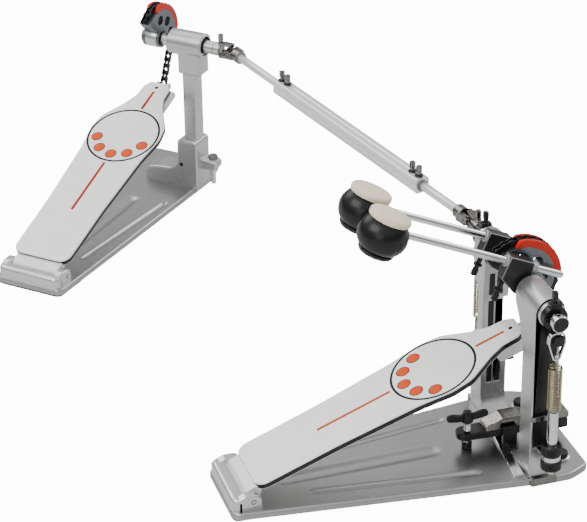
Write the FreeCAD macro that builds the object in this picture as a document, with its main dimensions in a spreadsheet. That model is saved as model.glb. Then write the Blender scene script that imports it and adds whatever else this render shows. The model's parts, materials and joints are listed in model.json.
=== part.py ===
import FreeCAD, Part
import os
import re
import Sketcher

# A double bass drum pedal: a primary pedal that clamps to the drum hoop, a secondary
# pedal to its left, and a drive shaft with two universal joints between them.
# Millimetres. +X is the drummer's right, +Y points from the heel to the drum, +Z is up.
# The origin is on the floor, straight below the middle of the primary axle.

doc = FreeCAD.newDocument("double_pedal")

# Driving dimensions. An angle is in degrees.
sizes = {
    # how the two pedals stand
    "axle_height": 200.6,
    "secondary_across": -712.66,
    "secondary_ahead": -186.67,
    "secondary_turn": 45.16,
    # base plates
    "heel_reach": 317.85,
    "heel_half": 45.6,
    "base_half": 86,
    "base_widest": 11,
    "base_front": 53,
    "base_chamfer": 12,
    "small_base_half": 60,
    "small_base_widest": 26,
    "small_base_front": 68,
    "base_low": 3,
    "base_top": 10,
    "base_corner": 6,
    "pad_side": 24,
    "pad_inset": 3,
    # heel block and footboard hinge
    "hinge_back": 294.8,
    "hinge_height": 18.4,
    "hinge_pin_radius": 3,
    "heel_block_half": 41.5,
    "heel_block_top": 22,
    "heel_block_front": 285,
    "ear_thick": 10.2,
    "barrel_radius": 7.2,
    "side_play": 0.6,
    "shaft_play": 0.05,
    # footboard
    "board_angle": 20.9,
    "small_board_angle": 19.35,
    "board_start": 9,
    "board_length": 322,
    "board_heel_half": 38,
    "board_wide_half": 48.5,
    "board_toe_half": 18.5,
    "board_thick": 7,
    "board_rise": 11.7,
    "circle_back": 99,
    "inlay_depth": 1.2,
    "dot_radius": 7.4,
    "dot_ring": 33.3,
    "stripe_half": 1.3,
    "toe_overhang": 5,
    "toe_rise": 2,
    "toe_pin_radius": 2,
    "toe_slot_half": 5.2,
    "toe_ear_reach": 5,
    "toe_ear_thick": 3.8,
    "skirt_drop": 8,
    "skirt_length": 36,
    # chain and cam
    "chain_pitch_radius": 40,
    "chain_half_height": 3.8,
    "chain_half_width": 3.6,
    "chain_back_angle": 131,
    "cam_disc_radius": 36,
    "cam_half_width": 8,
    "cam_rim_radius": 43.5,
    "rim_back_angle": 100,
    "rim_front_angle": -5,
    "cam_low_angle": -40,
    "cam_back_angle": 134,
    "cam_collar_radius": 12,
    # axle, beater hub, beater
    "axle_radius": 6,
    "axle_cap_radius": 9,
    "hub_across": 19,
    "second_hub_across": -36,
    "hub_half": 6.8,
    "rod_lean": 66,
    "rod_offset": 19,
    "rod_radius": 3.9,
    "rod_tail": 34,
    "beater_reach": 173,
    "beater_radius": 26,
    "felt_radius": 21.5,
    "felt_face": 18,
    "felt_thick": 7,
    # posts and bearings
    "post_inner": 52,
    "post_outer": 80,
    "post_back": -16,
    "post_front": 12,
    "housing_inner": 30,
    "second_housing_inner": 50,
    "housing_radius": 16,
    "bearing_radius": 9.5,
    "boss_wall": 0.6,
    "bearing_width": 7,
    "slot_floor": 46,
    "slot_margin": 1.5,
    "slot_deep": 3,
    "band_height": 78,
    "band_thick": 6,
    "band_wall": 3,
    "band_reach": 12,
    "waist_low": 95,
    "waist_high": 166,
    "waist_outer": 66,
    "waist_front": 7,
    "waist_slope": 12,
    "foot_flare": 20,
    "foot_lip": 4,
    # return spring
    "spring_across": 97,
    "rotor_inner": 85,
    "rotor_outer": 99.5,
    "rotor_radius": 13,
    "lever_radius": 21,
    "stud_radius": 5.5,
    "link_half": 2,
    "link_radius": 8.5,
    "link_length": 22,
    "coil_radius": 7.6,
    "eye_half": 2,
    "coil_top": 150,
    "coil_low": 98,
    "clevis_radius": 5.4,
    "clevis_slot_half": 2.5,
    "adjuster_radius": 4,
    "adjuster_low": 25,
    "nut_radius": 10.5,
    "bracket_low": 42,
    "bracket_thick": 5,
    "bracket_half": 9,
    "nut_height": 12,
    # drive shaft
    "joint_reach": 106,
    "second_joint_across": 128,
    "yoke_start": 12.5,
    "yoke_hub_length": 12,
    "yoke_hub_radius": 8,
    "yoke_ear_inner": 6.5,
    "yoke_ear_outer": 10,
    "yoke_ear_half": 4.5,
    "cross_half": 4.2,
    "trunnion_radius": 1.9,
    "trunnion_play": 0.6,
    "tube_start": 118,
    "tube_end": 428,
    "tube_half": 8.5,
    "inner_rod_radius": 4.6,
    "rod_overlap": 60,
    # secondary column
    "column_across": 50,
    "column_half": 9.5,
    "column_deep_half": 9.5,
    "socket_half": 20,
    "socket_deep_half": 16.5,
    "socket_top": 74,
    "column_top": 163,
    "small_housing_inner": 24,
    "small_housing_outer": 70,
    # hoop clamp
    "clamp_across": 6,
    "clamp_half": 11,
    "clamp_pivot_ahead": -12,
    "clamp_pivot_height": 29,
    "clamp_low": 24,
    "clamp_thick": 8,
    "clamp_back": -66,
    "clamp_nose": 50,
    "screw_ahead": -54,
    "screw_radius": 3.5,
    "screw_low": 12.4,
    "foot_low": 10.6,
    "foot_radius": 5.5,
    "foot_height": 7,
    "screw_top": 54,
    "wing_reach": 22,
    "jaw_thick": 4,
    # spurs
    "spur_inset": 34,
    "spur_back": 22,
    "spur_head_radius": 8,
    "spur_head_height": 6,
    "spur_radius": 3.5,
    "far_spur_radius": 3,
    "far_spur_low": 14,
    "far_spur_head_radius": 6,
    "far_spur_head_height": 6,
}

# Sizes that follow from the ones above, worked out in a second sheet.
worked = {
    "ear_radius": "Sizes.hinge_height - Sizes.base_top",
    "toe_reach": "Sizes.board_length + Sizes.toe_overhang",
    "circle_reach": "Sizes.board_length - Sizes.circle_back",
    "skirt_start": "Sizes.board_length - Sizes.skirt_length",
    "toe_ahead": "-Sizes.hinge_back + toe_reach * cos(Sizes.board_angle)"
                 " - Sizes.toe_rise * sin(Sizes.board_angle)",
    "toe_height": "Sizes.hinge_height + toe_reach * sin(Sizes.board_angle)"
                  " + Sizes.toe_rise * cos(Sizes.board_angle)",
    "small_toe_ahead": "-Sizes.hinge_back + toe_reach * cos(Sizes.small_board_angle)"
                       " - Sizes.toe_rise * sin(Sizes.small_board_angle)",
    "small_toe_height": "Sizes.hinge_height + toe_reach * sin(Sizes.small_board_angle)"
                        " + Sizes.toe_rise * cos(Sizes.small_board_angle)",
    "toe_range": "sqrt(toe_ahead ^ 2 + (Sizes.axle_height - toe_height) ^ 2)",
    "small_toe_range": "sqrt(small_toe_ahead ^ 2 + (Sizes.axle_height - small_toe_height) ^ 2)",
    "chain_lean": "(90 deg - atan(toe_ahead / (Sizes.axle_height - toe_height))"
                  " - acos(Sizes.chain_pitch_radius / toe_range)) / 1 deg",
    "small_chain_lean": "(90 deg - atan(small_toe_ahead / (Sizes.axle_height - small_toe_height))"
                        " - acos(Sizes.chain_pitch_radius / small_toe_range)) / 1 deg",
    "chain_straight": "sqrt(toe_range ^ 2 - Sizes.chain_pitch_radius ^ 2)",
    "small_chain_straight": "sqrt(small_toe_range ^ 2 - Sizes.chain_pitch_radius ^ 2)",
    "joint_across": "Sizes.secondary_across + Sizes.joint_reach * cos(Sizes.secondary_turn)",
    "joint_ahead": "Sizes.secondary_ahead + Sizes.joint_reach * sin(Sizes.secondary_turn)",
    "shaft_across": "-Sizes.second_joint_across - joint_across",
    "shaft_length": "sqrt(shaft_across ^ 2 + joint_ahead ^ 2)",
    "shaft_angle": "atan(-joint_ahead / shaft_across) / 1 deg",
}


def fill_sheet(name, cells):
    sheet = doc.addObject("Spreadsheet::Sheet", name)
    for row, (alias, value) in enumerate(cells.items(), start=1):
        sheet.set("A%d" % row, alias)
        sheet.set("B%d" % row, ("=" + value) if isinstance(value, str) else str(value))
        sheet.setAlias("B%d" % row, alias)
    return sheet


sheet = fill_sheet("Sizes", sizes)
fill_sheet("Worked", worked)
doc.recompute()


def cells(text):
    """Turn the plain names in an expression into references to the two sheets."""
    def to_cell(found):
        word = found.group(0)
        if word in sizes:
            return "Sizes." + word
        return "Worked." + word if word in worked else word
    return re.sub(r"[a-z_]+", to_cell, str(text))


def place_text(at=(0, 0, 0), axis="0; 0; 1", turn="0"):
    spot = "; ".join(str(value) for value in at)
    return "placement(vector(%s); rotation(vector(%s); %s))" % (spot, axis, turn)


along = {
    "X": place_text(axis="0; 1; 0", turn="90"),
    "Y": place_text(axis="1; 0; 0", turn="-90"),
    "Z": place_text(),
}

# The frames that pieces are placed in: each is one placement after another.
primary = place_text()
secondary = place_text(("secondary_across", "secondary_ahead", 0), turn="secondary_turn")
hinge_spot = (0, "-hinge_back", "hinge_height")
board_frame = place_text(hinge_spot, "1; 0; 0", "board_angle")
small_board_frame = secondary + " * " + place_text(hinge_spot, "1; 0; 0", "small_board_angle")
beater_frame = place_text((0, 0, "axle_height"), "1; 0; 0", "rod_lean")
shaft_frame = place_text(("joint_across", "joint_ahead", "axle_height"), turn="shaft_angle")

own_place = {}
nodes = []


def place(thing, text):
    own_place[thing.Name] = text
    thing.setExpression("Placement", cells(text))


def block(low, size):
    """A box from its lowest corner and its three lengths."""
    thing = doc.addObject("Part::Box", "block")
    for side, length in zip(("Length", "Width", "Height"), size):
        thing.setExpression(side, cells(length))
    place(thing, place_text(low))
    return thing


def slab(low, high):
    """A box from its lowest and highest corners."""
    return block(low, ["(%s) - (%s)" % (end, start) for start, end in zip(low, high)])


def bar(radius, length, start, direction="X"):
    """A round bar from the middle of its first end."""
    thing = doc.addObject("Part::Cylinder", "bar")
    thing.setExpression("Radius", cells(radius))
    thing.setExpression("Height", cells(length))
    place(thing, place_text(start) + " * " + along[direction])
    return thing


def sector(radius, start_angle, sweep, left, width, height="axle_height"):
    """A pie slice about the axle: angles run from +Y towards +Z."""
    thing = doc.addObject("Part::Cylinder", "sector")
    thing.setExpression("Radius", cells(radius))
    thing.setExpression("Height", cells(width))
    thing.setExpression("Angle", cells(sweep))
    spin = place_text(turn="90 + (%s)" % start_angle)
    place(thing, place_text((left, 0, height)) + " * " + along["X"] + " * " + spin)
    return thing


def fuse(*pieces):
    thing = doc.addObject("Part::MultiFuse", "fuse")
    thing.Shapes = list(pieces)
    own_place[thing.Name] = ""
    return thing


def cut(base, *tools):
    thing = doc.addObject("Part::Cut", "cut")
    thing.Base = base
    thing.Tool = tools[0] if len(tools) == 1 else fuse(*tools)
    own_place[thing.Name] = ""
    return thing


def group(*pieces):
    """Separate solids that make one node."""
    thing = doc.addObject("Part::Compound", "group")
    thing.Links = list(pieces)
    own_place[thing.Name] = ""
    return thing


def ring(outer, inner, width, start, direction="X"):
    return cut(bar(outer, width, start, direction), bar(inner, width, start, direction))


def node(label, thing, frame=primary):
    """Name a finished sub-part and put it in its frame."""
    own = own_place.get(thing.Name, "")
    thing.Label = label
    place(thing, frame + " * " + own if own else frame)
    nodes.append(thing)
    return thing


def outline(plane_role, corners, length, start="0", symmetric=False):
    """A PartDesign pad of a closed outline whose corners are all tied to the sheets."""
    body = doc.addObject("PartDesign::Body", "body")
    plane = [item for item in body.Origin.OriginFeatures if item.Role == plane_role][0]
    sketch = body.newObject("Sketcher::SketchObject", "outline")
    sketch.AttachmentSupport = [(plane, "")]
    sketch.MapMode = "FlatFace"
    sketch.setExpression("AttachmentOffset.Base.z", cells(start))
    draw(sketch, corners)
    pad = body.newObject("PartDesign::Pad", "pad")
    pad.Profile = sketch
    pad.setExpression("Length", cells(length))
    pad.Midplane = symmetric
    own_place[body.Name] = ""
    return body


def draw(sketch, corners):
    """Draw a closed polygon: first near enough, then held by one pair of sizes a corner."""
    probe = doc.addObject("Spreadsheet::Sheet", "Probe")
    for row, (across, up) in enumerate(corners, start=1):
        probe.set("A%d" % row, "=" + cells(across))
        probe.set("B%d" % row, "=" + cells(up))
    probe.recompute()
    spots = []
    for row in range(1, len(corners) + 1):
        spots.append(FreeCAD.Vector(number(probe, "A%d" % row), number(probe, "B%d" % row), 0))
    doc.removeObject(probe.Name)
    count = len(spots)
    for index in range(count):
        sketch.addGeometry(Part.LineSegment(spots[index], spots[(index + 1) % count]))
    for index in range(count):
        sketch.addConstraint(Sketcher.Constraint("Coincident", index, 2, (index + 1) % count, 1))
    for index, (across, up) in enumerate(corners):
        for kind, text, value in (("DistanceX", across, spots[index].x),
                                  ("DistanceY", up, spots[index].y)):
            hold = sketch.addConstraint(Sketcher.Constraint(kind, -1, 1, index, 1, value))
            sketch.setExpression("Constraints[%d]" % hold, cells(text))


def number(sheet_object, address):
    value = sheet_object.get(address)
    return float(getattr(value, "Value", value))


def turned(corners, role="XZ_Plane"):
    """A PartDesign body of revolution about Z from corners given as radius and height."""
    body = doc.addObject("PartDesign::Body", "body")
    plane = [item for item in body.Origin.OriginFeatures if item.Role == role][0]
    sketch = body.newObject("Sketcher::SketchObject", "profile")
    sketch.AttachmentSupport = [(plane, "")]
    sketch.MapMode = "FlatFace"
    draw(sketch, corners)
    spin = body.newObject("PartDesign::Revolution", "spin")
    spin.Profile = sketch
    spin.ReferenceAxis = (sketch, ["V_Axis"])
    spin.Angle = 360
    own_place[body.Name] = ""
    return body


def mirrored(corners):
    """Close a right-hand outline with its mirror image about the middle."""
    return corners + [("-(%s)" % across, up) for across, up in reversed(corners)]


def base_plate(label, corners, frame):
    plate = outline("XY_Plane", mirrored(corners), "base_top - base_low", "base_low")
    doc.recompute()
    pad = plate.Tip
    upright = []
    for index, edge in enumerate(pad.Shape.Edges, start=1):
        low, high = edge.Vertexes[0].Point, edge.Vertexes[-1].Point
        if abs(low.x - high.x) < 1e-6 and abs(low.y - high.y) < 1e-6:
            upright.append("Edge%d" % index)
    fillet = plate.newObject("PartDesign::Fillet", "corners")
    fillet.Base = (pad, upright)
    fillet.setExpression("Radius", cells("base_corner"))
    plate.Tip = fillet
    node(label, plate, frame)


def heel_block(frame):
    """The cast block that holds the footboard's hinge pin between two ears."""
    inner = "heel_block_half - ear_thick"
    solid = fuse(
        slab(("-heel_block_half", "-heel_reach", "base_top"),
             ("heel_block_half", "-heel_block_front", "heel_block_top")),
        bar("ear_radius", "2 * heel_block_half",
            ("-heel_block_half", "-hinge_back", "hinge_height")))
    mouth = slab(("-(%s)" % inner, "-hinge_back - ear_radius", "base_top - 1"),
                 (inner, "-heel_block_front + ear_radius", "hinge_height + 2 * ear_radius"))
    bore = bar("hinge_pin_radius", "2 * heel_block_half",
               ("-heel_block_half", "-hinge_back", "hinge_height"))
    shaped = cut(solid, mouth, bore)
    place(shaped, frame)
    return shaped


def hinge_pin(frame):
    pin = bar("hinge_pin_radius", "2 * heel_block_half",
              ("-heel_block_half", "-hinge_back", "hinge_height"))
    place(pin, frame + " * " + own_place[pin.Name])
    return pin


def footboard(label, frame):
    """The cast board, in a frame with its hinge at the origin and its length along Y."""
    half = [
        ("board_heel_half", "board_start"),
        ("board_heel_half + 0.5", "circle_reach - 124"),
        ("board_wide_half - 5.5", "circle_reach - 33"),
        ("board_wide_half", "circle_reach + 3"),
        ("board_wide_half - 3", "circle_reach + 26"),
        ("board_toe_half + 9", "board_length - 45"),
        ("board_toe_half + 1", "board_length - 27"),
        ("board_toe_half", "board_length - 7"),
        ("board_toe_half - 6", "board_length"),
    ]
    plate = outline("XY_Plane", mirrored(half), "board_thick", "board_rise - board_thick")
    low = "board_rise - board_thick"
    barrel_half = "heel_block_half - ear_thick - side_play"
    barrel = bar("barrel_radius", "2 * (%s)" % barrel_half, ("-(%s)" % barrel_half, 0, 0))
    web = slab(("-(%s)" % barrel_half, 0, -2), (barrel_half, "board_start + 5", low))
    pieces = [plate, barrel, web]
    for side in (-1, 1):
        outer = "board_toe_half"
        edges = sorted([side, side * 0.82])
        pieces.append(slab(("%s * %s" % (edges[0], outer), "skirt_start", "-skirt_drop"),
                           ("%s * %s" % (edges[1], outer), "board_length - 7", low)))
        ear = "toe_slot_half" if side > 0 else "-toe_slot_half - toe_ear_thick"
        pieces.append(block((ear, "board_length - 12", "toe_rise - toe_ear_reach"),
                            ("toe_ear_thick", "toe_reach - board_length + 12", "2 * toe_ear_reach")))
        pieces.append(bar("toe_ear_reach", "toe_ear_thick", (ear, "toe_reach", "toe_rise")))
    eye = bar("toe_pin_radius", "2 * board_toe_half",
              ("-board_toe_half", "toe_reach", "toe_rise"))
    bore = bar("hinge_pin_radius + shaft_play", "2 * heel_block_half",
               ("-heel_block_half", 0, 0))
    solid = cut(fuse(*pieces), eye, bore, *inlays())
    node(label, solid, frame)


def inlays():
    """Five dots and two stripes let into the top of the board."""
    low = "board_rise - inlay_depth"
    depth = "inlay_depth"
    shapes = []
    for angle in (198, 234, 270, 306, 342):
        spot = ("dot_ring * cos(%d)" % angle, "circle_reach + dot_ring * sin(%d)" % angle, low)
        shapes.append(bar("dot_radius", depth, spot, "Z"))
    for start, end in (("circle_reach - 133", "circle_reach - 49"),
                       ("circle_reach + 49", "circle_reach + 84")):
        shapes.append(slab(("-stripe_half", start, low), ("stripe_half", end, "board_rise")))
    return shapes


def toe_pin(label, frame):
    width = "2 * (toe_slot_half + toe_ear_thick)"
    start = ("-toe_slot_half - toe_ear_thick", "toe_reach", "toe_rise")
    node(label, bar("toe_pin_radius", width, start), frame)


def cam(label, frame):
    """Two discs either side of a chain core, cut to the sector that the chain uses."""
    core = "chain_pitch_radius - chain_half_height - 0.3"
    gap = "chain_half_width + 0.4"
    sweep = "cam_back_angle - cam_low_angle"
    discs = [sector(core, "cam_low_angle", sweep, "-(%s)" % gap, "2 * (%s)" % gap)]
    for left in ("-cam_half_width", gap):
        discs.append(sector("cam_disc_radius", "cam_low_angle", sweep, left,
                            "cam_half_width - (%s)" % gap))
    collar = bar("cam_collar_radius", "2 * cam_half_width + 7",
                 ("-cam_half_width - 5", 0, "axle_height"))
    holes = []
    for angle in (0, 45, 90):
        spot = ("-cam_half_width", "23 * cos(%d)" % angle, "axle_height + 23 * sin(%d)" % angle)
        holes.append(bar(6, "2 * cam_half_width", spot))
    bore = bar("axle_radius", "2 * cam_half_width + 7", ("-cam_half_width - 5", 0, "axle_height"))
    node(label, cut(fuse(*discs, collar), bore, *holes), frame)


def cam_rims(label, frame):
    """The two red guides that keep the chain on the cam."""
    gap = "chain_half_width + 0.4"
    sweep = "rim_back_angle - rim_front_angle"
    rims = []
    for left in ("-cam_half_width", gap):
        width = "cam_half_width - (%s)" % gap
        rims.append(cut(sector("cam_rim_radius", "rim_front_angle", sweep, left, width),
                        bar("cam_disc_radius", "cam_half_width", (left, 0, "axle_height"))))
    node(label, group(*rims), frame)


def chain(side, lean, straight, frame):
    """The chain's two runs: the one wrapped on the cam and the one that hangs to the toe."""
    sweep = "chain_back_angle + " + lean
    wide = "2 * chain_half_width"
    wrap = cut(sector("chain_pitch_radius + chain_half_height", "-" + lean, sweep,
                      "-chain_half_width", wide),
               bar("chain_pitch_radius - chain_half_height", wide,
                   ("-chain_half_width", 0, "axle_height")))
    node(side + "_chain_wrap", wrap, frame)
    spot = place_text((0, 0, "axle_height"), "1; 0; 0", "-" + lean)
    drop = slab(("-chain_half_width", "chain_pitch_radius - chain_half_height",
                 "-%s + toe_pin_radius + 1" % straight),
                ("chain_half_width", "chain_pitch_radius + chain_half_height", -0.2))
    node(side + "_chain_drop", drop, frame + " * " + spot)


def beater_hub(label, across):
    """The clamp that holds a beater rod beside the axle."""
    corners = [("rod_offset + 7", "hub_half * 4.8"), ("rod_offset + 7", 6), (12, 4), (8, -8),
               (-8, -10), (-13, 0), (-10, 14), (1, "hub_half * 4.8")]
    solid = outline("YZ_Plane", corners, "2 * hub_half", across + " - hub_half")
    rod_bore = bar("rod_radius + shaft_play", 80, (across, "rod_offset", -30), "Z")
    axle_bore = bar("axle_radius", "2 * hub_half", (across + " - hub_half", 0, 0))
    node(label, cut(solid, rod_bore, axle_bore), beater_frame)


def key_bolt(across, ahead, height, direction="Z", length=14):
    """A square-headed bolt, turned with a drum key."""
    shank = bar(2.2, length, (across, ahead, height), direction)
    low = {"Z": ("-2.6", "-2.6", "0"), "Y": ("-2.6", "0", "-2.6")}[direction]
    size = {"Z": (5.2, 5.2, 8), "Y": (5.2, 8, 5.2)}[direction]
    start = [across, ahead, height]
    reach = 2 if direction == "Z" else 1
    start[reach] = "(%s) + %s" % (start[reach], length - 1)
    head = block(["(%s) + (%s)" % pair for pair in zip(start, low)], size)
    return fuse(shank, head)


def beater(prefix, across):
    """Rod, bulb and felt. The bulb's axis is square to the rod."""
    rod = bar("rod_radius", "rod_tail + beater_reach + 8", (across, "rod_offset", "-rod_tail"), "Z")
    node(prefix + "_beater_rod", rod, beater_frame)
    seat = beater_frame + " * " + place_text((across, "rod_offset", "beater_reach"),
                                             "1; 0; 0", "-90")
    bulb = turned([(0, -27), (12, -27), (14, -22), ("beater_radius - 4", -20),
                   ("beater_radius", -11), ("beater_radius", 2), ("felt_radius + 1", 11),
                   (0, 11)])
    passage = bar("rod_radius + 0.02", "2 * beater_radius + 2", (0, "-9", 0), "Y")
    node(prefix + "_beater_bulb", cut(bulb, passage), seat)
    felt = turned([(0, "felt_face - felt_thick"), ("felt_radius", "felt_face - felt_thick"),
                   ("felt_radius", "felt_face - 2"), ("felt_radius * 0.7", "felt_face"),
                   (0, "felt_face + 1")])
    node(prefix + "_beater_felt", felt, seat)


def post(label, side):
    """A cast post: a foot, a slotted column and a bearing housing at its top."""
    inner = "housing_inner" if side > 0 else "second_housing_inner"
    waist = [] if side > 0 else [("post_outer", "waist_low"),
                                 ("waist_outer", "waist_low + waist_slope"),
                                 ("waist_outer", "waist_high - waist_slope"),
                                 ("post_outer", "waist_high")]
    corners = [("post_inner - foot_flare", "base_top"), ("post_outer + 2", "base_top"),
               ("post_outer + 2", "base_top + 4"), ("post_outer", "base_top + 8"), *waist,
               ("post_outer", "axle_height"), (inner, "axle_height"),
               (inner, "axle_height - 9"), ("0.6 * post_inner + 0.4 * (%s)" % inner,
                                            "axle_height - 28"),
               ("post_inner", "axle_height - 54")]
    for angle in (0, 18, 36, 54, 72, 90):
        corners.append(("post_inner - foot_flare * (1 - cos(%d))" % angle,
                        "base_top + foot_lip + foot_flare * (1 - sin(%d))" % angle))
    if side < 0:
        corners = [("-(%s)" % across, up) for across, up in reversed(corners)]
    column = outline("XZ_Plane", corners, "post_front - post_back", "-post_front")
    length = "post_outer - " + inner
    start = inner if side > 0 else "-post_outer"
    housing = bar("housing_radius", length, (start, 0, "axle_height"))
    bore = bar("bearing_radius", length, (start, 0, "axle_height"))
    hollows = [bore, *post_slots(side)]
    if side < 0:
        hollows.append(slab(("-post_outer", "waist_front", "waist_low"),
                            ("-post_inner", "post_front", "waist_high - waist_slope")))
    node(label, cut(fuse(column, housing), *hollows))


def post_slots(side):
    """The two slots on a post's inner face, and the arched recess on the right one's outer face."""
    shapes = []
    if side > 0:
        low = "post_outer - slot_deep"
        arch = bar("housing_radius - slot_margin", "slot_deep", (low, 0, "axle_height"))
        plate = slab((low, "post_back + 2 * slot_margin", "slot_floor"),
                     ("post_outer", "post_front - 2 * slot_margin", "axle_height"))
        boss = bar("bearing_radius + boss_wall", "slot_deep", (low, 0, "axle_height"))
        shapes.append(cut(fuse(arch, plate), boss))
    low = "post_inner" if side > 0 else "-post_inner - slot_deep"
    high = "post_inner + slot_deep" if side > 0 else "-post_inner"
    spans = ((-11.5, -3), (-1, 7.5)) if side > 0 else ((-9.5, -3.5), (-1, 5.5))
    for start, end in spans:
        shapes.append(slab((low, start, "slot_floor"), (high, end, "axle_height - 56")))
    return shapes


def rotor(label, side):
    """The lever that joins the axle to the return spring, with its bearing stud."""
    left = "rotor_inner" if side > 0 else "-rotor_outer"
    width = "rotor_outer - rotor_inner - 6.2"
    arm_left = left if side > 0 else "-rotor_inner - (%s)" % width
    round_part = bar("rotor_radius", width, (arm_left, 0, "axle_height"))
    arm = slab((arm_left, -6, "axle_height - lever_radius"),
               ("(%s) + (%s)" % (arm_left, width), 6, "axle_height"))
    lobe = bar("stud_radius + 2", width, (arm_left, 0, "axle_height - lever_radius"))
    stud_left = "spring_across - 6" if side > 0 else "-spring_across - 6"
    stud = bar("stud_radius", 12, (stud_left, 0, "axle_height - lever_radius"))
    lug = slab((arm_left, -6, "axle_height"),
               ("(%s) + (%s)" % (arm_left, width), 6, "axle_height + rotor_radius + 3"))
    bore = bar("axle_radius", 30, ("spring_across - 20" if side > 0 else "-spring_across - 12",
                                   0, "axle_height"))
    solid = cut(fuse(round_part, arm, lobe, stud, lug), bore)
    node(label, solid)


def spring_train(prefix, side):
    """Swivel link, return spring and the spring's lower eye."""
    across = "spring_across" if side > 0 else "-spring_across"
    height = "axle_height - lever_radius"
    left = across + " - link_half"
    loop = bar("link_radius", "2 * link_half", (left, 0, height))
    strap = outline("YZ_Plane", [("-link_radius + 0.5", height), (-3, height + " - link_length"),
                                 (3, height + " - link_length"), ("link_radius - 0.5", height)],
                    "2 * link_half", left)
    bore = bar("stud_radius + shaft_play", "2 * link_half", (left, 0, height))
    eye = bar(1.6, "2 * link_half", (left, 0, height + " - link_length + 4"))
    node(prefix + "_spring_link", cut(fuse(loop, strap), bore, eye))
    coil = bar("coil_radius", "coil_top - coil_low", (across, 0, "coil_low"), "Z")
    node(prefix + "_return_spring", coil)
    hook = slab((across + " - 1", "-eye_half", "coil_low - 18"),
                (across + " + 1", "eye_half", "coil_low - 0.5"))
    node(prefix + "_spring_eye", hook)


def spring_seats():
    """Clevis studs, knurled nuts and post brackets that hold the springs' lower ends."""
    studs, nuts, brackets = [], [], []
    ring_high = "bracket_low + bracket_thick"
    for side in (-1, 1):
        across = "spring_across" if side > 0 else "-spring_across"
        head_low = ring_high + " + nut_height"
        head = bar("clevis_radius", "coil_low - 0.5 - (%s)" % head_low,
                   (across, 0, head_low), "Z")
        thread = bar("adjuster_radius", "%s - adjuster_low" % ring_high + " + nut_height",
                     (across, 0, "adjuster_low"), "Z")
        slot = slab((across + " - clevis_slot_half", "-2 * clevis_radius", head_low + " + 5"),
                    (across + " + clevis_slot_half", "2 * clevis_radius", "coil_low"))
        studs.append(cut(fuse(head, thread), slot))
        for low in (ring_high, "bracket_low - nut_height"):
            nuts.append(ring("nut_radius", "adjuster_radius", "nut_height", (across, 0, low), "Z"))
        far = "spring_across" if side > 0 else "-post_outer"
        near = "post_outer" if side > 0 else "-spring_across"
        plate = fuse(slab((near, "-bracket_half", "bracket_low"), (far, "bracket_half", ring_high)),
                     bar("bracket_half", "bracket_thick", (across, 0, "bracket_low"), "Z"))
        hole = bar("adjuster_radius", "bracket_thick", (across, 0, "bracket_low"), "Z")
        brackets.append(cut(plate, hole))
    node("spring_clevis_studs", group(*studs))
    node("spring_adjuster_nuts", group(*nuts))
    node("post_brackets", group(*brackets, *post_bands()))


def post_bands():
    """An angle plate on each post above its spring bracket: one leg outside, one in front."""
    top = "band_height + band_thick"
    bands = []
    for side in (-1, 1):
        if side > 0:
            outer = slab(("post_outer", "post_back", "band_height"),
                         ("post_outer + band_wall", "post_front + band_reach", top))
            front = slab(("post_inner", "post_front", "band_height"),
                         ("post_outer", "post_front + band_reach", top))
        else:
            outer = slab(("-post_outer - band_wall", "post_back", "band_height"),
                         ("-post_outer", "post_front + band_reach", top))
            front = slab(("-post_outer", "post_front", "band_height"),
                         ("-post_inner", "post_front + band_reach", top))
        bands.append(fuse(outer, front))
    return bands


def yoke(direction_sign, pin_upright):
    """A universal joint's fork, with the joint's centre at the origin and its shaft along X."""
    hub_left = "yoke_start" if direction_sign > 0 else "-yoke_start - yoke_hub_length"
    pieces = [bar("yoke_hub_radius", "yoke_hub_length", (hub_left, 0, 0))]
    holes = []
    for side in (-1, 1):
        out_low = "yoke_ear_inner" if side > 0 else "-yoke_ear_outer"
        out_high = "yoke_ear_outer" if side > 0 else "-yoke_ear_inner"
        back = ("0", "yoke_start + 3") if direction_sign > 0 else ("-yoke_start - 3", "0")
        if pin_upright:
            arm = slab((back[0], "-yoke_ear_half", out_low), (back[1], "yoke_ear_half", out_high))
            tip_start, turn = (0, 0, out_low), "Z"
        else:
            arm = slab((back[0], out_low, "-yoke_ear_half"), (back[1], out_high, "yoke_ear_half"))
            tip_start, turn = (0, out_low, 0), "Y"
        thick = "yoke_ear_outer - yoke_ear_inner"
        pieces += [arm, bar("yoke_ear_half", thick, tip_start, turn)]
        holes.append(bar("trunnion_radius + trunnion_play", thick, tip_start, turn))
        if pin_upright:
            bridge_low = "yoke_ear_half" if side > 0 else "-yoke_ear_outer"
            bridge_high = "yoke_ear_outer" if side > 0 else "-yoke_ear_half"
            wall = ("yoke_start", "yoke_start + 3") if direction_sign > 0 else \
                ("-yoke_start - 3", "-yoke_start")
            pieces.append(slab((wall[0], "-yoke_ear_half", bridge_low),
                               (wall[1], "yoke_ear_half", bridge_high)))
    return pieces, holes


def put(thing, frame):
    own = own_place[thing.Name]
    place(thing, frame + " * " + own if own else frame)
    return thing


def cross(label, frame):
    """The centre piece of a universal joint with its four trunnions."""
    reach = "2 * yoke_ear_outer"
    node(label, fuse(
        slab(("-cross_half",) * 3, ("cross_half",) * 3),
        bar("trunnion_radius", reach, (0, "-yoke_ear_outer", 0), "Y"),
        bar("trunnion_radius", reach, (0, 0, "-yoke_ear_outer"), "Z")), frame)


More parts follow.
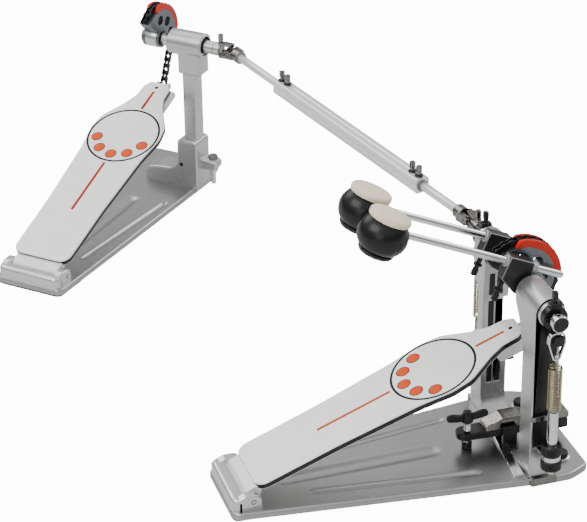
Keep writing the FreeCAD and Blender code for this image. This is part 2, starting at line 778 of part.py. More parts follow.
# Stands: base plates, pads, heel blocks and their hinge pins
base_plate("primary_base_plate",
           [("heel_half", "-heel_reach"), ("base_half", "base_widest"),
            ("base_half", "base_front - 2 * base_chamfer"),
            ("base_half - base_chamfer", "base_front")], primary)
base_plate("secondary_base_plate",
           [("heel_half", "-heel_reach"), ("small_base_half", "small_base_widest"),
            ("small_base_half - base_chamfer", "small_base_front")], secondary)
pads = []
for frame, half, front in ((primary, "base_half - base_chamfer", "base_front"),
                           (secondary, "small_base_half - base_chamfer", "small_base_front")):
    for side in (-1, 1):
        for across, ahead in (("%d * (%s - pad_side / 2 - pad_inset)" % (side, half),
                               front + " - pad_side - pad_inset"),
                              ("%d * (heel_half - pad_side / 2 - pad_inset)" % side,
                               "-heel_reach + pad_inset")):
            pads.append(put(block(("(%s) - pad_side / 2" % across, ahead, 0),
                                  ("pad_side", "pad_side", "base_low")), frame))
pads.append(slab(("-pad_side / 2", "-pad_side / 2", 0), ("pad_side / 2", "pad_side / 2", "base_low")))
node("rubber_pads", group(*pads))
node("heel_blocks", group(heel_block(primary), heel_block(secondary)))
node("hinge_pins", group(hinge_pin(primary), hinge_pin(secondary)))

# Footboards with their inlays and toe pins
for side, frame in (("primary", board_frame), ("secondary", small_board_frame)):
    footboard(side + "_footboard", frame)
    node(side + "_board_inlays", group(*inlays()), frame)
    toe_pin(side + "_toe_pin", frame)

# Cams and chains
for side, frame, lean, straight in (
        ("primary", primary, "chain_lean", "chain_straight"),
        ("secondary", secondary, "small_chain_lean", "small_chain_straight")):
    cam(side + "_cam", frame)
    cam_rims(side + "_cam_rims", frame)
    chain(side, lean, straight, frame)

# Primary axle, with the beater hubs and the return springs either side
cap = bar("axle_cap_radius", "spring_across + 8.5 - rotor_outer",
          ("rotor_outer - 6", 0, "axle_height"))
node("primary_axle", fuse(bar("axle_radius", "rotor_outer - 6 + 14", (-14, 0, "axle_height")), cap))
beater_hub("primary_beater_hub", "hub_across")
beater_hub("second_beater_hub", "second_hub_across")
beater("primary", "hub_across")
beater("second", "second_hub_across")
rotor("primary_spring_rotor", 1)
rotor("second_spring_rotor", -1)
spring_train("primary", 1)
spring_train("second", -1)
spring_seats()

# Posts, their dark inserts and bands, and the bearings
post("primary_right_post", 1)
post("primary_left_post", -1)
node("post_inserts", group(*post_slots(1), *post_slots(-1)))
bearings = []
for left in ("housing_inner", "post_outer - bearing_width", "-post_outer",
             "-second_housing_inner - bearing_width"):
    bearings.append(ring("bearing_radius", "axle_radius + shaft_play", "bearing_width",
                         (left, 0, "axle_height")))
for left in ("small_housing_inner", "small_housing_outer - bearing_width"):
    bearings.append(put(ring("bearing_radius", "axle_radius + shaft_play", "bearing_width",
                             (left, 0, "axle_height")), secondary))
node("axle_bearings", group(*bearings))

# Secondary column: a socket casting, a column and a bearing housing
socket = fuse(
    slab(("column_across - socket_half + 3", "-socket_deep_half", "base_top"),
         ("column_across + socket_half - 8", "socket_deep_half", "socket_top")),
    slab((-14, "-socket_deep_half", "base_top"),
         ("column_across", "socket_deep_half", "base_top + 20")),
    slab(("column_across", "-9", "base_top + 26"),
         ("column_across + socket_half + 14", "9", "base_top + 38")))
column_well = slab(("column_across - column_half", "-column_deep_half", "base_top + 10"),
                   ("column_across + column_half", "column_deep_half", "socket_top"))
spur_bore = bar(3, 20, ("column_across + socket_half + 6", 0, "base_top + 22"), "Z")
node("secondary_column_socket", cut(socket, column_well, spur_bore), secondary)
column = slab(("column_across - column_half", "-column_deep_half", "base_top + 10"),
              ("column_across + column_half", "column_deep_half", "column_top"))
head = fuse(
    column,
    bar("housing_radius", "small_housing_outer - small_housing_inner",
        ("small_housing_inner", 0, "axle_height")),
    slab(("column_across - 14", "-12.5", "column_top"),
         ("column_across + 18", "12.5", "axle_height")))
head_bore = bar("bearing_radius", "small_housing_outer - small_housing_inner",
                ("small_housing_inner", 0, "axle_height"))
node("secondary_column", cut(head, head_bore), secondary)

# Drive shaft: an axle with a yoke at each end, two inner rods, a tube and two crosses
fork, holes = yoke(-1, True)
node("secondary_axle",
     cut(fuse(*fork,
              bar("axle_radius", "joint_reach - yoke_start + cam_half_width + 9",
                  ("-joint_reach - cam_half_width - 9", 0, 0)),
              bar("axle_radius + 2.5", 3, ("-joint_reach - cam_half_width - 8.5", 0, 0))),
         *holes),
     secondary + " * " + place_text(("joint_reach", 0, "axle_height")))
fork, holes = yoke(1, True)
node("second_beater_axle",
     cut(fuse(*fork, bar("axle_radius", "second_joint_across - yoke_start - 16",
                         ("yoke_start", 0, 0))), *holes),
     place_text(("-second_joint_across", 0, "axle_height")))
inner_rods = []
for sign, end in ((1, 0), (-1, "shaft_length")):
    level_yoke, level_holes = yoke(sign, False)
    if sign > 0:
        rod = bar("inner_rod_radius", "tube_start + rod_overlap - yoke_start - 2",
                  ("yoke_start + 2", 0, 0))
    else:
        rod = bar("inner_rod_radius", "shaft_length - tube_end + rod_overlap - yoke_start - 2",
                  ("-(shaft_length - tube_end) - rod_overlap", 0, 0))
    walls = []
    for side in (-1, 1):
        low = "yoke_ear_half" if side > 0 else "-yoke_ear_outer"
        high = "yoke_ear_outer" if side > 0 else "-yoke_ear_half"
        span = ("yoke_start", "yoke_start + 3") if sign > 0 else ("-yoke_start - 3", "-yoke_start")
        walls.append(slab((span[0], low, "-yoke_ear_half"), (span[1], high, "yoke_ear_half")))
    inner_rods.append(put(cut(fuse(*level_yoke, *walls, rod), *level_holes),
                          shaft_frame + " * " + place_text((end, 0, 0))))
node("drive_inner_rods", group(*inner_rods))
tube = cut(slab(("tube_start", "-tube_half", "-tube_half"), ("tube_end", "tube_half", "tube_half")),
           bar("inner_rod_radius", "tube_end - tube_start", ("tube_start", 0, 0)))
node("drive_tube", tube, shaft_frame)
clamp_bolts = []
for station in ("tube_start + 7", "tube_start + 20", "tube_end - 20", "tube_end - 7"):
    clamp_bolts.append(key_bolt(station, 0, "tube_half", "Z", 5))
node("drive_clamp_bolts", group(*clamp_bolts), shaft_frame)
cross("left_joint_cross", shaft_frame)
cross("right_joint_cross", shaft_frame + " * " + place_text(("shaft_length", 0, 0)))

# Hoop clamp: bracket, rocking lever with its jaw pad, and the wing screw
lever_top = "clamp_low + clamp_thick"
lever = slab(("clamp_across - clamp_half", "clamp_back", "clamp_low"),
             ("clamp_across + clamp_half", "clamp_nose", lever_top))
pivot_hole = bar("3 + shaft_play", "2 * clamp_half",
                 ("clamp_across - clamp_half", "clamp_pivot_ahead", "clamp_pivot_height"))
screw_hole = slab(("clamp_across - 4.5", "screw_ahead - 6", "clamp_low"),
                  ("clamp_across + 4.5", "screw_ahead + 6", lever_top))
node("hoop_clamp_lever", cut(lever, pivot_hole, screw_hole))
node("hoop_jaw_pad", slab(("clamp_across - clamp_half", "base_front - 22", "clamp_low - jaw_thick"),
                          ("clamp_across + clamp_half", "base_front - 4", "clamp_low")))
cheeks = []
for side in (-1, 1):
    near = "clamp_across + clamp_half + 0.5" if side > 0 else "clamp_across - clamp_half - 4.5"
    cheeks.append(block((near, "clamp_pivot_ahead - 8", "base_top"), (4, 16, 26)))
pivot = bar(3, "2 * clamp_half + 9",
            ("clamp_across - clamp_half - 4.5", "clamp_pivot_ahead", "clamp_pivot_height"))
node("hoop_clamp_bracket", fuse(*cheeks, pivot))
wing = fuse(
    bar("screw_radius", "screw_top - screw_low", ("clamp_across", "screw_ahead", "screw_low"), "Z"),
    bar(6, 8, ("clamp_across", "screw_ahead", "screw_top - 10"), "Z"),
    slab(("clamp_across - 2.2", "screw_ahead - wing_reach", "screw_top - 10"),
         ("clamp_across + 2.2", "screw_ahead + wing_reach", "screw_top - 2")))
node("hoop_wing_screw", wing)
foot = bar("foot_radius", "foot_height", ("clamp_across", "screw_ahead", "foot_low"), "Z")
foot_well = bar("screw_radius + shaft_play", "foot_height",
                ("clamp_across", "screw_ahead", "screw_low - 0.3"), "Z")
node("hoop_screw_foot", cut(foot, foot_well))

# Spurs that bite the floor, and the drum-key bolts of the hubs and rotors
spurs = []
for side in (-1, 1):
    spot = ("%d * (base_half - spur_inset)" % side, "base_front - spur_back", "base_top")
    spurs.append(fuse(bar("spur_radius", "spur_head_height + 2", spot, "Z"),
                      bar("spur_head_radius", "spur_head_height", spot, "Z")))
far_spur = "column_across + socket_half + 6"
spurs.append(put(fuse(bar("far_spur_radius", "base_top + 38 + far_spur_head_height - far_spur_low",
                          (far_spur, 0, "far_spur_low"), "Z"),
                      bar("far_spur_head_radius", "far_spur_head_height",
                          (far_spur, 0, "base_top + 38"), "Z")), secondary))
node("anchor_spurs", group(*spurs))
for prefix, across, side in (("primary", "hub_across", 1), ("second", "second_hub_across", -1)):
    hub_key = bar(2.6, 15, (across, -18.6, 27), "Y")
    hub_key = put(hub_key, beater_frame)
    top_key = key_bolt("rotor_inner + 4" if side > 0 else "-rotor_inner - 4", 0,
                       "axle_height + rotor_radius + 3", "Z", 6)
    node(prefix + "_key_bolts", group(hub_key, top_key))

doc.recompute()

faults = []
for item in doc.Objects:
    if "Invalid" in item.State or "Error" in item.State:
        faults.append("%s (%s)" % (item.Label, item.State))
for item in nodes:
    if item.Shape.isNull() or not item.Shape.isValid():
        faults.append(item.Label + " has no valid shape")
if faults:
    raise RuntimeError("these did not build: " + ", ".join(faults))

os.makedirs("parts", exist_ok=True)
for item in nodes:
    item.Shape.exportStep("parts/%s.step" % item.Label)
print(len(nodes), "sub-parts written")
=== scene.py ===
import bpy
import bmesh
import json
import numpy as np
from math import atan2, cos, degrees, hypot, pi, radians, sin
from mathutils import Matrix, Vector

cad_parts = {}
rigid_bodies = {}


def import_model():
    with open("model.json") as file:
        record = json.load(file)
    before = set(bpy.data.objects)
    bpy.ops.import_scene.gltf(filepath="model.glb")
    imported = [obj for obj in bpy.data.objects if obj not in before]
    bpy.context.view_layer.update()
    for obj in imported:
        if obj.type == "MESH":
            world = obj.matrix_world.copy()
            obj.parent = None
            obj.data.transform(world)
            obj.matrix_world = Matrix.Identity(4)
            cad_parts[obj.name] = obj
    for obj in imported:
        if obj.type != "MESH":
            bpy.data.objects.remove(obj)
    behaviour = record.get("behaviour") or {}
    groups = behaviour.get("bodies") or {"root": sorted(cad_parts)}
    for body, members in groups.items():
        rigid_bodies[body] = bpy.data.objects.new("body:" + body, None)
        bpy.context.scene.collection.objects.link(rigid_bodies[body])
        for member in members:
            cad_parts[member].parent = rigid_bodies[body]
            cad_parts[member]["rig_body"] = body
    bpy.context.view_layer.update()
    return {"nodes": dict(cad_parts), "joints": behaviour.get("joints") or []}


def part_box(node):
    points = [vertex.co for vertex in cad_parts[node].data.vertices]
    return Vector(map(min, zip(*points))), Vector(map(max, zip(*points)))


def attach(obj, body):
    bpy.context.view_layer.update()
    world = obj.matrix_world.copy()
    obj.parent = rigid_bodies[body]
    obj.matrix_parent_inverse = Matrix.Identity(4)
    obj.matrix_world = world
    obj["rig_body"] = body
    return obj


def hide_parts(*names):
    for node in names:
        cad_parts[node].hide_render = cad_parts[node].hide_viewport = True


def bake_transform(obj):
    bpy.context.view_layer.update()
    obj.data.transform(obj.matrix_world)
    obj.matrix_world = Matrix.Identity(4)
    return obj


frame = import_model()
nodes = frame["nodes"]
joints = {joint["name"]: joint for joint in frame["joints"]}
metre = 1000.0  # shapes below are in millimetres, meshes in metres
print("frame loaded:", len(nodes), "nodes")


# where things are
def jointSpot(name):
    return np.array(joints[name]["pos_m"]) * metre


def boxOf(node):
    low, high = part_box(node)
    return np.array(low) * metre, np.array(high) * metre


def unit(vector):
    vector = np.asarray(vector, float)
    return vector / np.linalg.norm(vector, axis=-1, keepdims=True)


def frameAt(spot, xAxis, yAxis):
    # 4x4 of a frame with that origin; y is squared up to x, and z is x cross y
    xAxis = unit(xAxis)
    yAxis = unit(np.asarray(yAxis, float) - xAxis * np.dot(xAxis, yAxis))
    matrix = np.eye(4)
    matrix[:3, 0], matrix[:3, 1], matrix[:3, 2] = xAxis, yAxis, np.cross(xAxis, yAxis)
    matrix[:3, 3] = spot
    return matrix


def tilt(matrix, degreesUp, spot=(0, 0, 0)):
    # the same frame moved to spot and turned about its own x
    a = radians(degreesUp)
    turn = np.eye(4)
    turn[1:3, 1:3] = [[cos(a), -sin(a)], [sin(a), cos(a)]]
    turn[:3, 3] = spot
    return matrix @ turn


def place(points, matrix):
    return points @ matrix[:3, :3].T + matrix[:3, 3]


axleSpot = jointSpot("primary_axle_turn")
axleHeight = axleSpot[2]
primaryFrame = np.eye(4)
farAxis = -np.array(joints["secondary_axle_turn"]["axis"])
farTurn = atan2(farAxis[1], farAxis[0])
farHinge = jointSpot("secondary_footboard_press")
nearHinge = jointSpot("primary_footboard_press")
farAhead = np.array([-sin(farTurn), cos(farTurn), 0])
farSpot = farHinge + farAhead * (axleSpot[1] - nearHinge[1])
farSpot[2] = 0
secondaryFrame = frameAt(farSpot, farAxis, farAhead)
rodDirection = np.array(joints["primary_beater_height"]["axis"])
beaterFrame = frameAt(axleSpot, (1, 0, 0), np.cross(rodDirection, (1, 0, 0)))
leftJoint, rightJoint = jointSpot("left_cross_swing"), jointSpot("right_cross_swing")
shaftFrame = frameAt(leftJoint, rightJoint - leftJoint, np.cross((0, 0, 1), rightJoint - leftJoint))
toePin = {"ahead": 327, "rise": 2}  # from the board's hinge, with the board level


def toeTilt(node, matrix, hinge):
    # how far the board is tipped up: the toe pin's angle from the hinge, less its angle on a level board
    low, high = boxOf(node)
    pin = (low + high) / 2 - hinge
    ahead = np.dot(pin, matrix[:3, 1])
    return degrees(atan2(pin[2], ahead)) - degrees(atan2(toePin["rise"], toePin["ahead"]))


boardFrames = {
    "primary": tilt(primaryFrame, toeTilt("primary_toe_pin", primaryFrame, nearHinge), nearHinge),
    "secondary": tilt(secondaryFrame, toeTilt("secondary_toe_pin", secondaryFrame, farHinge),
                      (0, nearHinge[1], nearHinge[2])),
}


# surfaces
def shell(grid, caps=True, bands=0):
    # rows x columns of points joined into quads; the columns close into a ring and a face shuts each end row;
    # bands says which of the piece's finishes each strip between two rows has
    rows, columns = grid.shape[:2]
    here = np.arange(rows * columns).reshape(rows, columns)
    there = np.roll(here, -1, axis=1)
    quads = np.stack([here[:-1], there[:-1], there[1:], here[1:]], -1).reshape(-1, 4)
    marks = np.repeat(np.broadcast_to(bands, rows - 1), columns)
    faces, marks = quads.tolist(), marks.tolist()
    if caps:
        faces += [here[0, ::-1].tolist(), here[-1].tolist()]
        marks += [marks[0], marks[-1]]
    return {"points": grid.reshape(-1, 3), "faces": faces, "marks": marks}


def rounded(corners, radii, steps=6):
    # closed outline: an arc of the given radius in each corner, tangent to both sides and limited to under half
    # a side; a point of the arc is (sin((1 - k) s) first + sin(k s) last) / sin(s) for a sweep s
    spots = np.array(corners, float)
    radii = np.broadcast_to(radii, len(spots)).astype(float)
    back, on = np.roll(spots, 1, axis=0) - spots, np.roll(spots, -1, axis=0) - spots
    backLong, onLong = np.linalg.norm(back, axis=1), np.linalg.norm(on, axis=1)
    back, on = back / backLong[:, None], on / onLong[:, None]
    half = np.arccos(np.clip((back * on).sum(1), -1, 1)) / 2
    reach = np.minimum(radii / np.tan(half), 0.48 * np.minimum(backLong, onLong))
    radius = reach * np.tan(half)
    middle = unit(back + on + 1e-9) * (radius / np.sin(half))[:, None]
    first, last = back * reach[:, None] - middle, on * reach[:, None] - middle
    sweep = (pi - 2 * half)[:, None, None]
    k = np.linspace(0, 1, steps + 1)[None, :, None]
    arc = (np.sin((1 - k) * sweep) * first[:, None] + np.sin(k * sweep) * last[:, None]) / np.sin(sweep)
    return ((spots + middle)[:, None] + arc).reshape(-1, 2)


def circle(radius, steps):
    angle = np.arange(steps) / steps * 2 * pi
    return np.stack([radius * np.cos(angle), radius * np.sin(angle)], 1)


def block(left, right, near, far, radii=1.0, steps=6):
    # a rectangle with rounded corners
    return rounded([(left, near), (right, near), (right, far), (left, far)], radii, steps)


def softEdges(low, high, radius, steps=3):
    # rows of inset and height: a quarter round at the bottom edge, a straight side and a quarter round at the
    # top, with one more row just past each round so that the end faces and the side shade flat
    a = np.linspace(0, pi / 2, steps + 1)
    bottom = np.stack([radius * (1 - np.sin(a)), low + radius * (1 - np.cos(a))], 1)
    top = np.stack([radius * (1 - np.cos(a)), high - radius * (1 - np.sin(a))], 1)
    spare = max(0, min(0.4 * radius, 0.4 * ((high - low) / 2 - radius)))
    sides = [(0, low + radius + spare), (0, high - radius - spare)]
    face = radius * 1.4
    return np.concatenate([[(face, low)], bottom, sides, top, [(face, high)]])


def plate(outline, rows, matrix=primaryFrame, across="z", bands=0, caps=True):
    # an outline carried along an axis: each row moves it inward along its own normals by the inset
    outline = np.asarray(outline, float)
    if across == "y":
        outline = outline[::-1]
    side = unit(np.roll(outline, -1, axis=0) - outline + 1e-12)
    mean = unit(side + np.roll(side, 1, axis=0))
    normal = np.stack([mean[:, 1], -mean[:, 0]], 1)
    area = np.sum(outline[:, 0] * np.roll(outline[:, 1], -1) - outline[:, 1] * np.roll(outline[:, 0], -1))
    rows = np.asarray(rows, float)
    flat = outline[None] - np.sign(area) * normal[None] * rows[:, 0, None, None]
    height = np.broadcast_to(rows[:, 1, None], flat.shape[:2])
    order = {"z": (flat[..., 0], flat[..., 1], height), "x": (height, flat[..., 0], flat[..., 1]),
             "y": (flat[..., 0], height, flat[..., 1])}[across]
    return shell(place(np.stack(order, -1), matrix), caps=caps, bands=bands)


def mirrored(outline, near, far, edge, matrix=primaryFrame, steps=3):
    # an outline carried across, from near to far of the middle, on the left and on the right
    spans = [sorted((sign * near, sign * far)) for sign in (-1, 1)]
    return [plate(outline, softEdges(low, high, edge, steps), matrix, "x") for low, high in spans]


def turned(profile, matrix=primaryFrame, along="z", steps=40, bands=0, caps=True):
    # radius and height pairs swept round an axis: (r cos a, r sin a, h)
    profile = np.asarray(profile, float)
    a = np.arange(steps) / steps * 2 * pi
    radius, height = profile[:, :1], np.broadcast_to(profile[:, 1:], (len(profile), steps))
    one, two = radius * np.cos(a), radius * np.sin(a)
    order = {"z": (one, two, height), "x": (height, one, two), "y": (two, height, one)}[along]
    return shell(place(np.stack(order, -1), matrix), caps=caps, bands=bands)


def tube(path, section, reference):
    # a section carried along a path, held square to it by a reference direction
    path = np.asarray(path, float)
    ahead = unit(np.gradient(path, axis=0))
    side = unit(np.cross(np.broadcast_to(reference, path.shape), ahead))
    up = np.cross(ahead, side)
    return shell(path[:, None] + side[:, None] * section[None, :, :1] + up[:, None] * section[None, :, 1:])


def keyHead(low, high, matrix, across="z", half=2.8):
    # square head of a drum-key bolt
    return plate(block(-half, half, -half, half, 1.0, 3), softEdges(low, high, 0.6, 2), matrix, across)


def at(x=0, y=0, z=0, matrix=primaryFrame):
    # the frame moved along its own axes
    spot = np.eye(4)
    spot[:3, 3] = (x, y, z)
    return matrix @ spot


nearAxle, farAxle = at(z=axleHeight), at(z=axleHeight, matrix=secondaryFrame)


def cleaned(mesh, gap, flatten=0):
    # merges points closer than gap, dissolves edges flatter than an angle, and points the faces outwards
    work = bmesh.new()
    work.from_mesh(mesh)
    bmesh.ops.remove_doubles(work, verts=work.verts, dist=gap)
    if flatten:
        bmesh.ops.dissolve_limit(work, angle_limit=radians(flatten), verts=work.verts, edges=work.edges)
    bmesh.ops.recalc_face_normals(work, faces=work.faces)
    work.to_mesh(mesh)
    work.free()


def shown(name, mesh, finishes, body, replaces, sharp):
    # smooths the mesh up to its sharp edges, gives it its finishes and hangs it on its body
    mesh.shade_smooth()
    mesh.set_sharp_from_angle(angle=radians(sharp))
    thing = bpy.data.objects.new(name, mesh)
    bpy.context.scene.collection.objects.link(thing)
    for skin in finishes if isinstance(finishes, (list, tuple)) else [finishes]:
        mesh.materials.append(skin)
    if body:
        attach(thing, body)
    if replaces:
        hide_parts(*replaces)
    return thing


def piece(name, shells, finishes, body, replaces=(), sharp=32, flat=None):
    # joins shells into one mesh and closes their seams; flat is the frame whose plane gives the UV map
    starts = np.cumsum([0] + [len(s["points"]) for s in shells])
    faces = [[i + start for i in face] for s, start in zip(shells, starts) for face in s["faces"]]
    points = np.concatenate([s["points"] for s in shells])
    mesh = bpy.data.meshes.new(name)
    mesh.from_pydata(points / metre, [], faces)
    mesh.polygons.foreach_set("material_index", [m for s in shells for m in s["marks"]])
    if flat is not None:
        local = place(points, np.linalg.inv(flat))[:, :2] / metre
        corner = np.zeros(len(mesh.loops), int)
        mesh.loops.foreach_get("vertex_index", corner)
        mesh.uv_layers.new(name="plan").data.foreach_set("uv", local[corner].ravel())
    cleaned(mesh, 1e-6)
    return shown(name, mesh, finishes, body, replaces, sharp)


def softened(node, width, skin, sharp=35):
    # a merged copy of a CAD node with its edges broken to a width, which stands for the node
    mesh = nodes[node].data.copy()
    cleaned(mesh, 2e-6, flatten=1)
    mesh.materials.clear()
    thing = shown(node + "_finished", mesh, skin, nodes[node]["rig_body"], (node,), sharp)
    bevel = thing.modifiers.new("brokenEdges", "BEVEL")
    bevel.width = width / metre
    bevel.segments = 2
    bevel.limit_method = "ANGLE"
    bevel.angle_limit = radians(sharp)
    bevel.use_clamp_overlap = False
    bevel.harden_normals = True


def repeated(shape, matrices):
    # the same small shape set at every matrix of a stack
    points = np.einsum("nij,pj->npi", matrices[:, :3, :3], shape["points"]) + matrices[:, None, :3, 3]
    count, size = len(matrices), len(shape["points"])
    faces = [[i + k * size for i in face] for k in range(count) for face in shape["faces"]]
    return {"points": points.reshape(-1, 3), "faces": faces, "marks": shape["marks"] * count}


# finishes
def linear(hexText):
    # sRGB hex to the linear colour that a shader takes
    c = np.array([int(hexText[i:i + 2], 16) for i in (1, 3, 5)]) / 255
    return (*np.where(c <= 0.04045, c / 12.92, ((c + 0.055) / 1.055) ** 2.4), 1)


def addNode(tree, kind, settings=(), values=(), links=()):
    # one node with its settings, its socket values and what feeds its sockets
    made = tree.nodes.new("ShaderNode" + kind)
    for key, value in dict(settings).items():
        setattr(made, key, value)
    for key, value in dict(values).items():
        made.inputs[key].default_value = value
    for key, source in dict(links).items():
        tree.links.new(source, made.inputs[key])
    return made


def finish(name, colour, second, grain, stretch=(1, 1, 1), metallic=0.0, rough=(0.3, 0.4), bump=0.0,
           smudge=30.0, edge=None, coordinates="object", sheen=0.0, specular=0.5):
    # colour runs to second with a noise whose grain is in mm, stretched along each axis; a broad smudge in mm
    # moves the roughness; edge is the colour of a painted highlight on pointy corners
    made = bpy.data.materials.new(name)
    made.use_nodes = True
    tree = made.node_tree
    shader = tree.nodes["Principled BSDF"]
    shader.inputs["Metallic"].default_value = metallic
    shader.inputs["Sheen Weight"].default_value = sheen
    shader.inputs["Specular IOR Level"].default_value = specular
    if coordinates == "plan":
        where = addNode(tree, "UVMap", {"uv_map": "plan"}).outputs["UV"]
    else:
        where = addNode(tree, "TexCoord").outputs["Object"]
    scale = [metre / (grain * s) for s in stretch]
    fine = addNode(tree, "Mapping", values={"Scale": scale}, links={"Vector": where})
    fineNoise = addNode(tree, "TexNoise", values={"Scale": 1.0, "Detail": 3.0, "Roughness": 0.6},
                        links={"Vector": fine.outputs[0]})
    broad = addNode(tree, "Mapping", values={"Scale": [metre / smudge] * 3}, links={"Vector": where})
    broadNoise = addNode(tree, "TexNoise", values={"Scale": 1.0, "Detail": 2.0},
                         links={"Vector": broad.outputs[0]})
    share = addNode(tree, "MapRange", values={"From Min": 0.35, "From Max": 0.65},
                    links={"Value": fineNoise.outputs["Fac"]})
    mix = addNode(tree, "Mix", {"data_type": "RGBA"}, links={0: share.outputs[0]})
    mix.inputs[6].default_value, mix.inputs[7].default_value = linear(colour), linear(second)
    colourOut = mix.outputs[2]
    if edge:
        # painted highlight: the pointiest corners are lightened towards the edge colour
        corner = addNode(tree, "NewGeometry").outputs["Pointiness"]
        cornerHighlightShare = addNode(tree, "MapRange", values={"From Min": 0.52, "From Max": 0.6}, links={"Value": corner})
        cornerHighlightMix = addNode(tree, "Mix", {"data_type": "RGBA"}, links={0: cornerHighlightShare.outputs[0], 6: colourOut})
        cornerHighlightMix.inputs[7].default_value = linear(edge)
        colourOut = cornerHighlightMix.outputs[2]
    tree.links.new(colourOut, shader.inputs["Base Color"])
    both = addNode(tree, "Math", {"operation": "ADD"},
                   links={0: fineNoise.outputs["Fac"], 1: broadNoise.outputs["Fac"]})
    reach = {"From Min": 0.7, "From Max": 1.3, "To Min": rough[0], "To Max": rough[1]}
    gloss = addNode(tree, "MapRange", values=reach, links={"Value": both.outputs[0]})
    tree.links.new(gloss.outputs[0], shader.inputs["Roughness"])
    if bump:
        raised = addNode(tree, "Bump", values={"Strength": 1.0, "Distance": bump / metre},
                         links={"Height": fineNoise.outputs["Fac"]})
        tree.links.new(raised.outputs[0], shader.inputs["Normal"])
    return made


# satin cast and brushed aluminium plate: a pale soft gleam with fine streaks along the board
satinAluminium = finish("satinBrushedAluminium", "#f7f7f4", "#ececeb", 0.6, (1, 9, 1), 0.4, (0.34, 0.48), 0.015,
                        coordinates="plan")
# the board's milled side, coloured dark as a painted reflection of dark surroundings in its polished metal: reads
# as a black line with a soft shine
darkReflectionEdge = finish("darkMilledEdge", "#161517", "#242325", 1.0, (1, 6, 1), 0.3, (0.25, 0.4),
                    coordinates="plan")
# rolled steel base with a clear satin plating: an even mid grey with long soft reflections
platedSteel = finish("satinPlatedSteel", "#b0b0b0", "#adadad", 6.0, (1, 6, 1), 1.0, (0.3, 0.34), smudge=60)
# tumbled aluminium casting: light grey, softly clouded, dull enough to blur what it reflects
castAluminium = finish("tumbledCastAluminium", "#cbcbca", "#c0c0c0", 2.6, metallic=0.9, rough=(0.28, 0.38),
                       smudge=18)
# brighter casting of the heel blocks and collars, polished, with a very fine skin
polishedCasting = finish("polishedCasting", "#dededd", "#cdcecd", 1.6, metallic=0.9, rough=(0.2, 0.32),
                         bump=0.01, smudge=20)
# black anodised aluminium: a warm near-black whose corners carry a painted highlight, lightened by pointiness
blackAnodised = finish("blackAnodisedAluminium", "#2b2729", "#221f21", 1.2, metallic=0.35, rough=(0.28, 0.42),
                       bump=0.02, edge="#cfd0d2")
# black oxide on small steel fittings: darker and glossier
blackOxide = finish("blackOxideSteel", "#1c1b1d", "#131315", 0.9, metallic=0.3, rough=(0.2, 0.32))
# lacquered panel in the posts, and the same black as painted shade on the posts' inner faces: an even black with
# a soft sheen
blackPanelAndShade = finish("sheenBlackPanel", "#2a2729", "#242224", 8.0, metallic=0.3, rough=(0.3, 0.4))
# chrome plate: a near mirror, barely clouded
chromePlate = finish("chromePlate", "#e2e4e7", "#d5d7da", 4, metallic=1.0, rough=(0.06, 0.16), smudge=15)
# bright nickel on castings and joints: a warmer, duller mirror
nickelPlate = finish("nickelPlate", "#94918e", "#75726f", 2.5, metallic=1.0, rough=(0.12, 0.22), smudge=12)
# drawn spring wire: pale with a straw tint
springWire = finish("drawnSpringWire", "#b3a98f", "#948b74", 1.0, metallic=1.0, rough=(0.14, 0.24))
# silver anodised square tube: very light, with a fine mottle and a satin gleam
silverTube = finish("silverAnodisedTube", "#f4f6f7", "#e9ebec", 1.4, metallic=0.5, rough=(0.26, 0.38),
                    smudge=40)
# glass-filled nylon guide in red: even, slightly glossy
redNylon = finish("redMouldedNylon", "#d42408", "#c01c05", 2.0, rough=(0.36, 0.48), bump=0.02, specular=0.35)
# enamel in the board's dots: a flat strong orange
orangeEnamel = finish("orangeEnamel", "#e64e00", "#d84600", 1.6, rough=(0.45, 0.55), specular=0.25)
# enamel wiped lengthwise into the stripes, so it is faintly streaked: orange on one board, red on the other
stripeEnamel = finish("stripeEnamel", "#dd6204", "#bf4a04", 1.2, (1, 5, 1), rough=(0.4, 0.5), specular=0.3,
                      coordinates="plan")
redStripeEnamel = finish("redStripeEnamel", "#c42d18", "#9c2012", 1.2, (1, 5, 1), rough=(0.4, 0.5),
                         specular=0.3, coordinates="plan")
# painted shade of the ring groove, of the recess round each dot and of the hole: a dark line
grooveAndHoleShade = finish("blackLinePaint", "#0c0c0d", "#141415", 1.0, rough=(0.5, 0.6), specular=0.2)
# roller chain in black oxide, oiled, so its plates glint
chainSteel = finish("oiledChainSteel", "#1b1a1c", "#0f0f11", 0.8, metallic=0.35, rough=(0.2, 0.34))
# moulded rubber: dull black
mouldedRubber = finish("mouldedRubber", "#19191b", "#222224", 0.8, rough=(0.6, 0.8), bump=0.03)
# pressed wool felt: cream, matt, fibres drawn at 0.5 mm, coarser than real ones so that they show
pressedFelt = finish("pressedWoolFelt", "#fbf1d6", "#ecdfbc", 0.5, rough=(0.85, 1.0), bump=0.25, smudge=9,
                     sheen=0.3, specular=0.2)
# injection moulded hard plastic, polished mould: black with a broad soft highlight
mouldedPlastic = finish("glossMouldedPlastic", "#0c0b0d", "#111012", 1.5, rough=(0.24, 0.34), bump=0.006,
                        specular=0.35)
# grey die-cast disc of the cam
camCasting = finish("greyDieCasting", "#797e82", "#62676b", 1.6, metallic=0.9, rough=(0.26, 0.4), bump=0.02)
print("finishes ready")


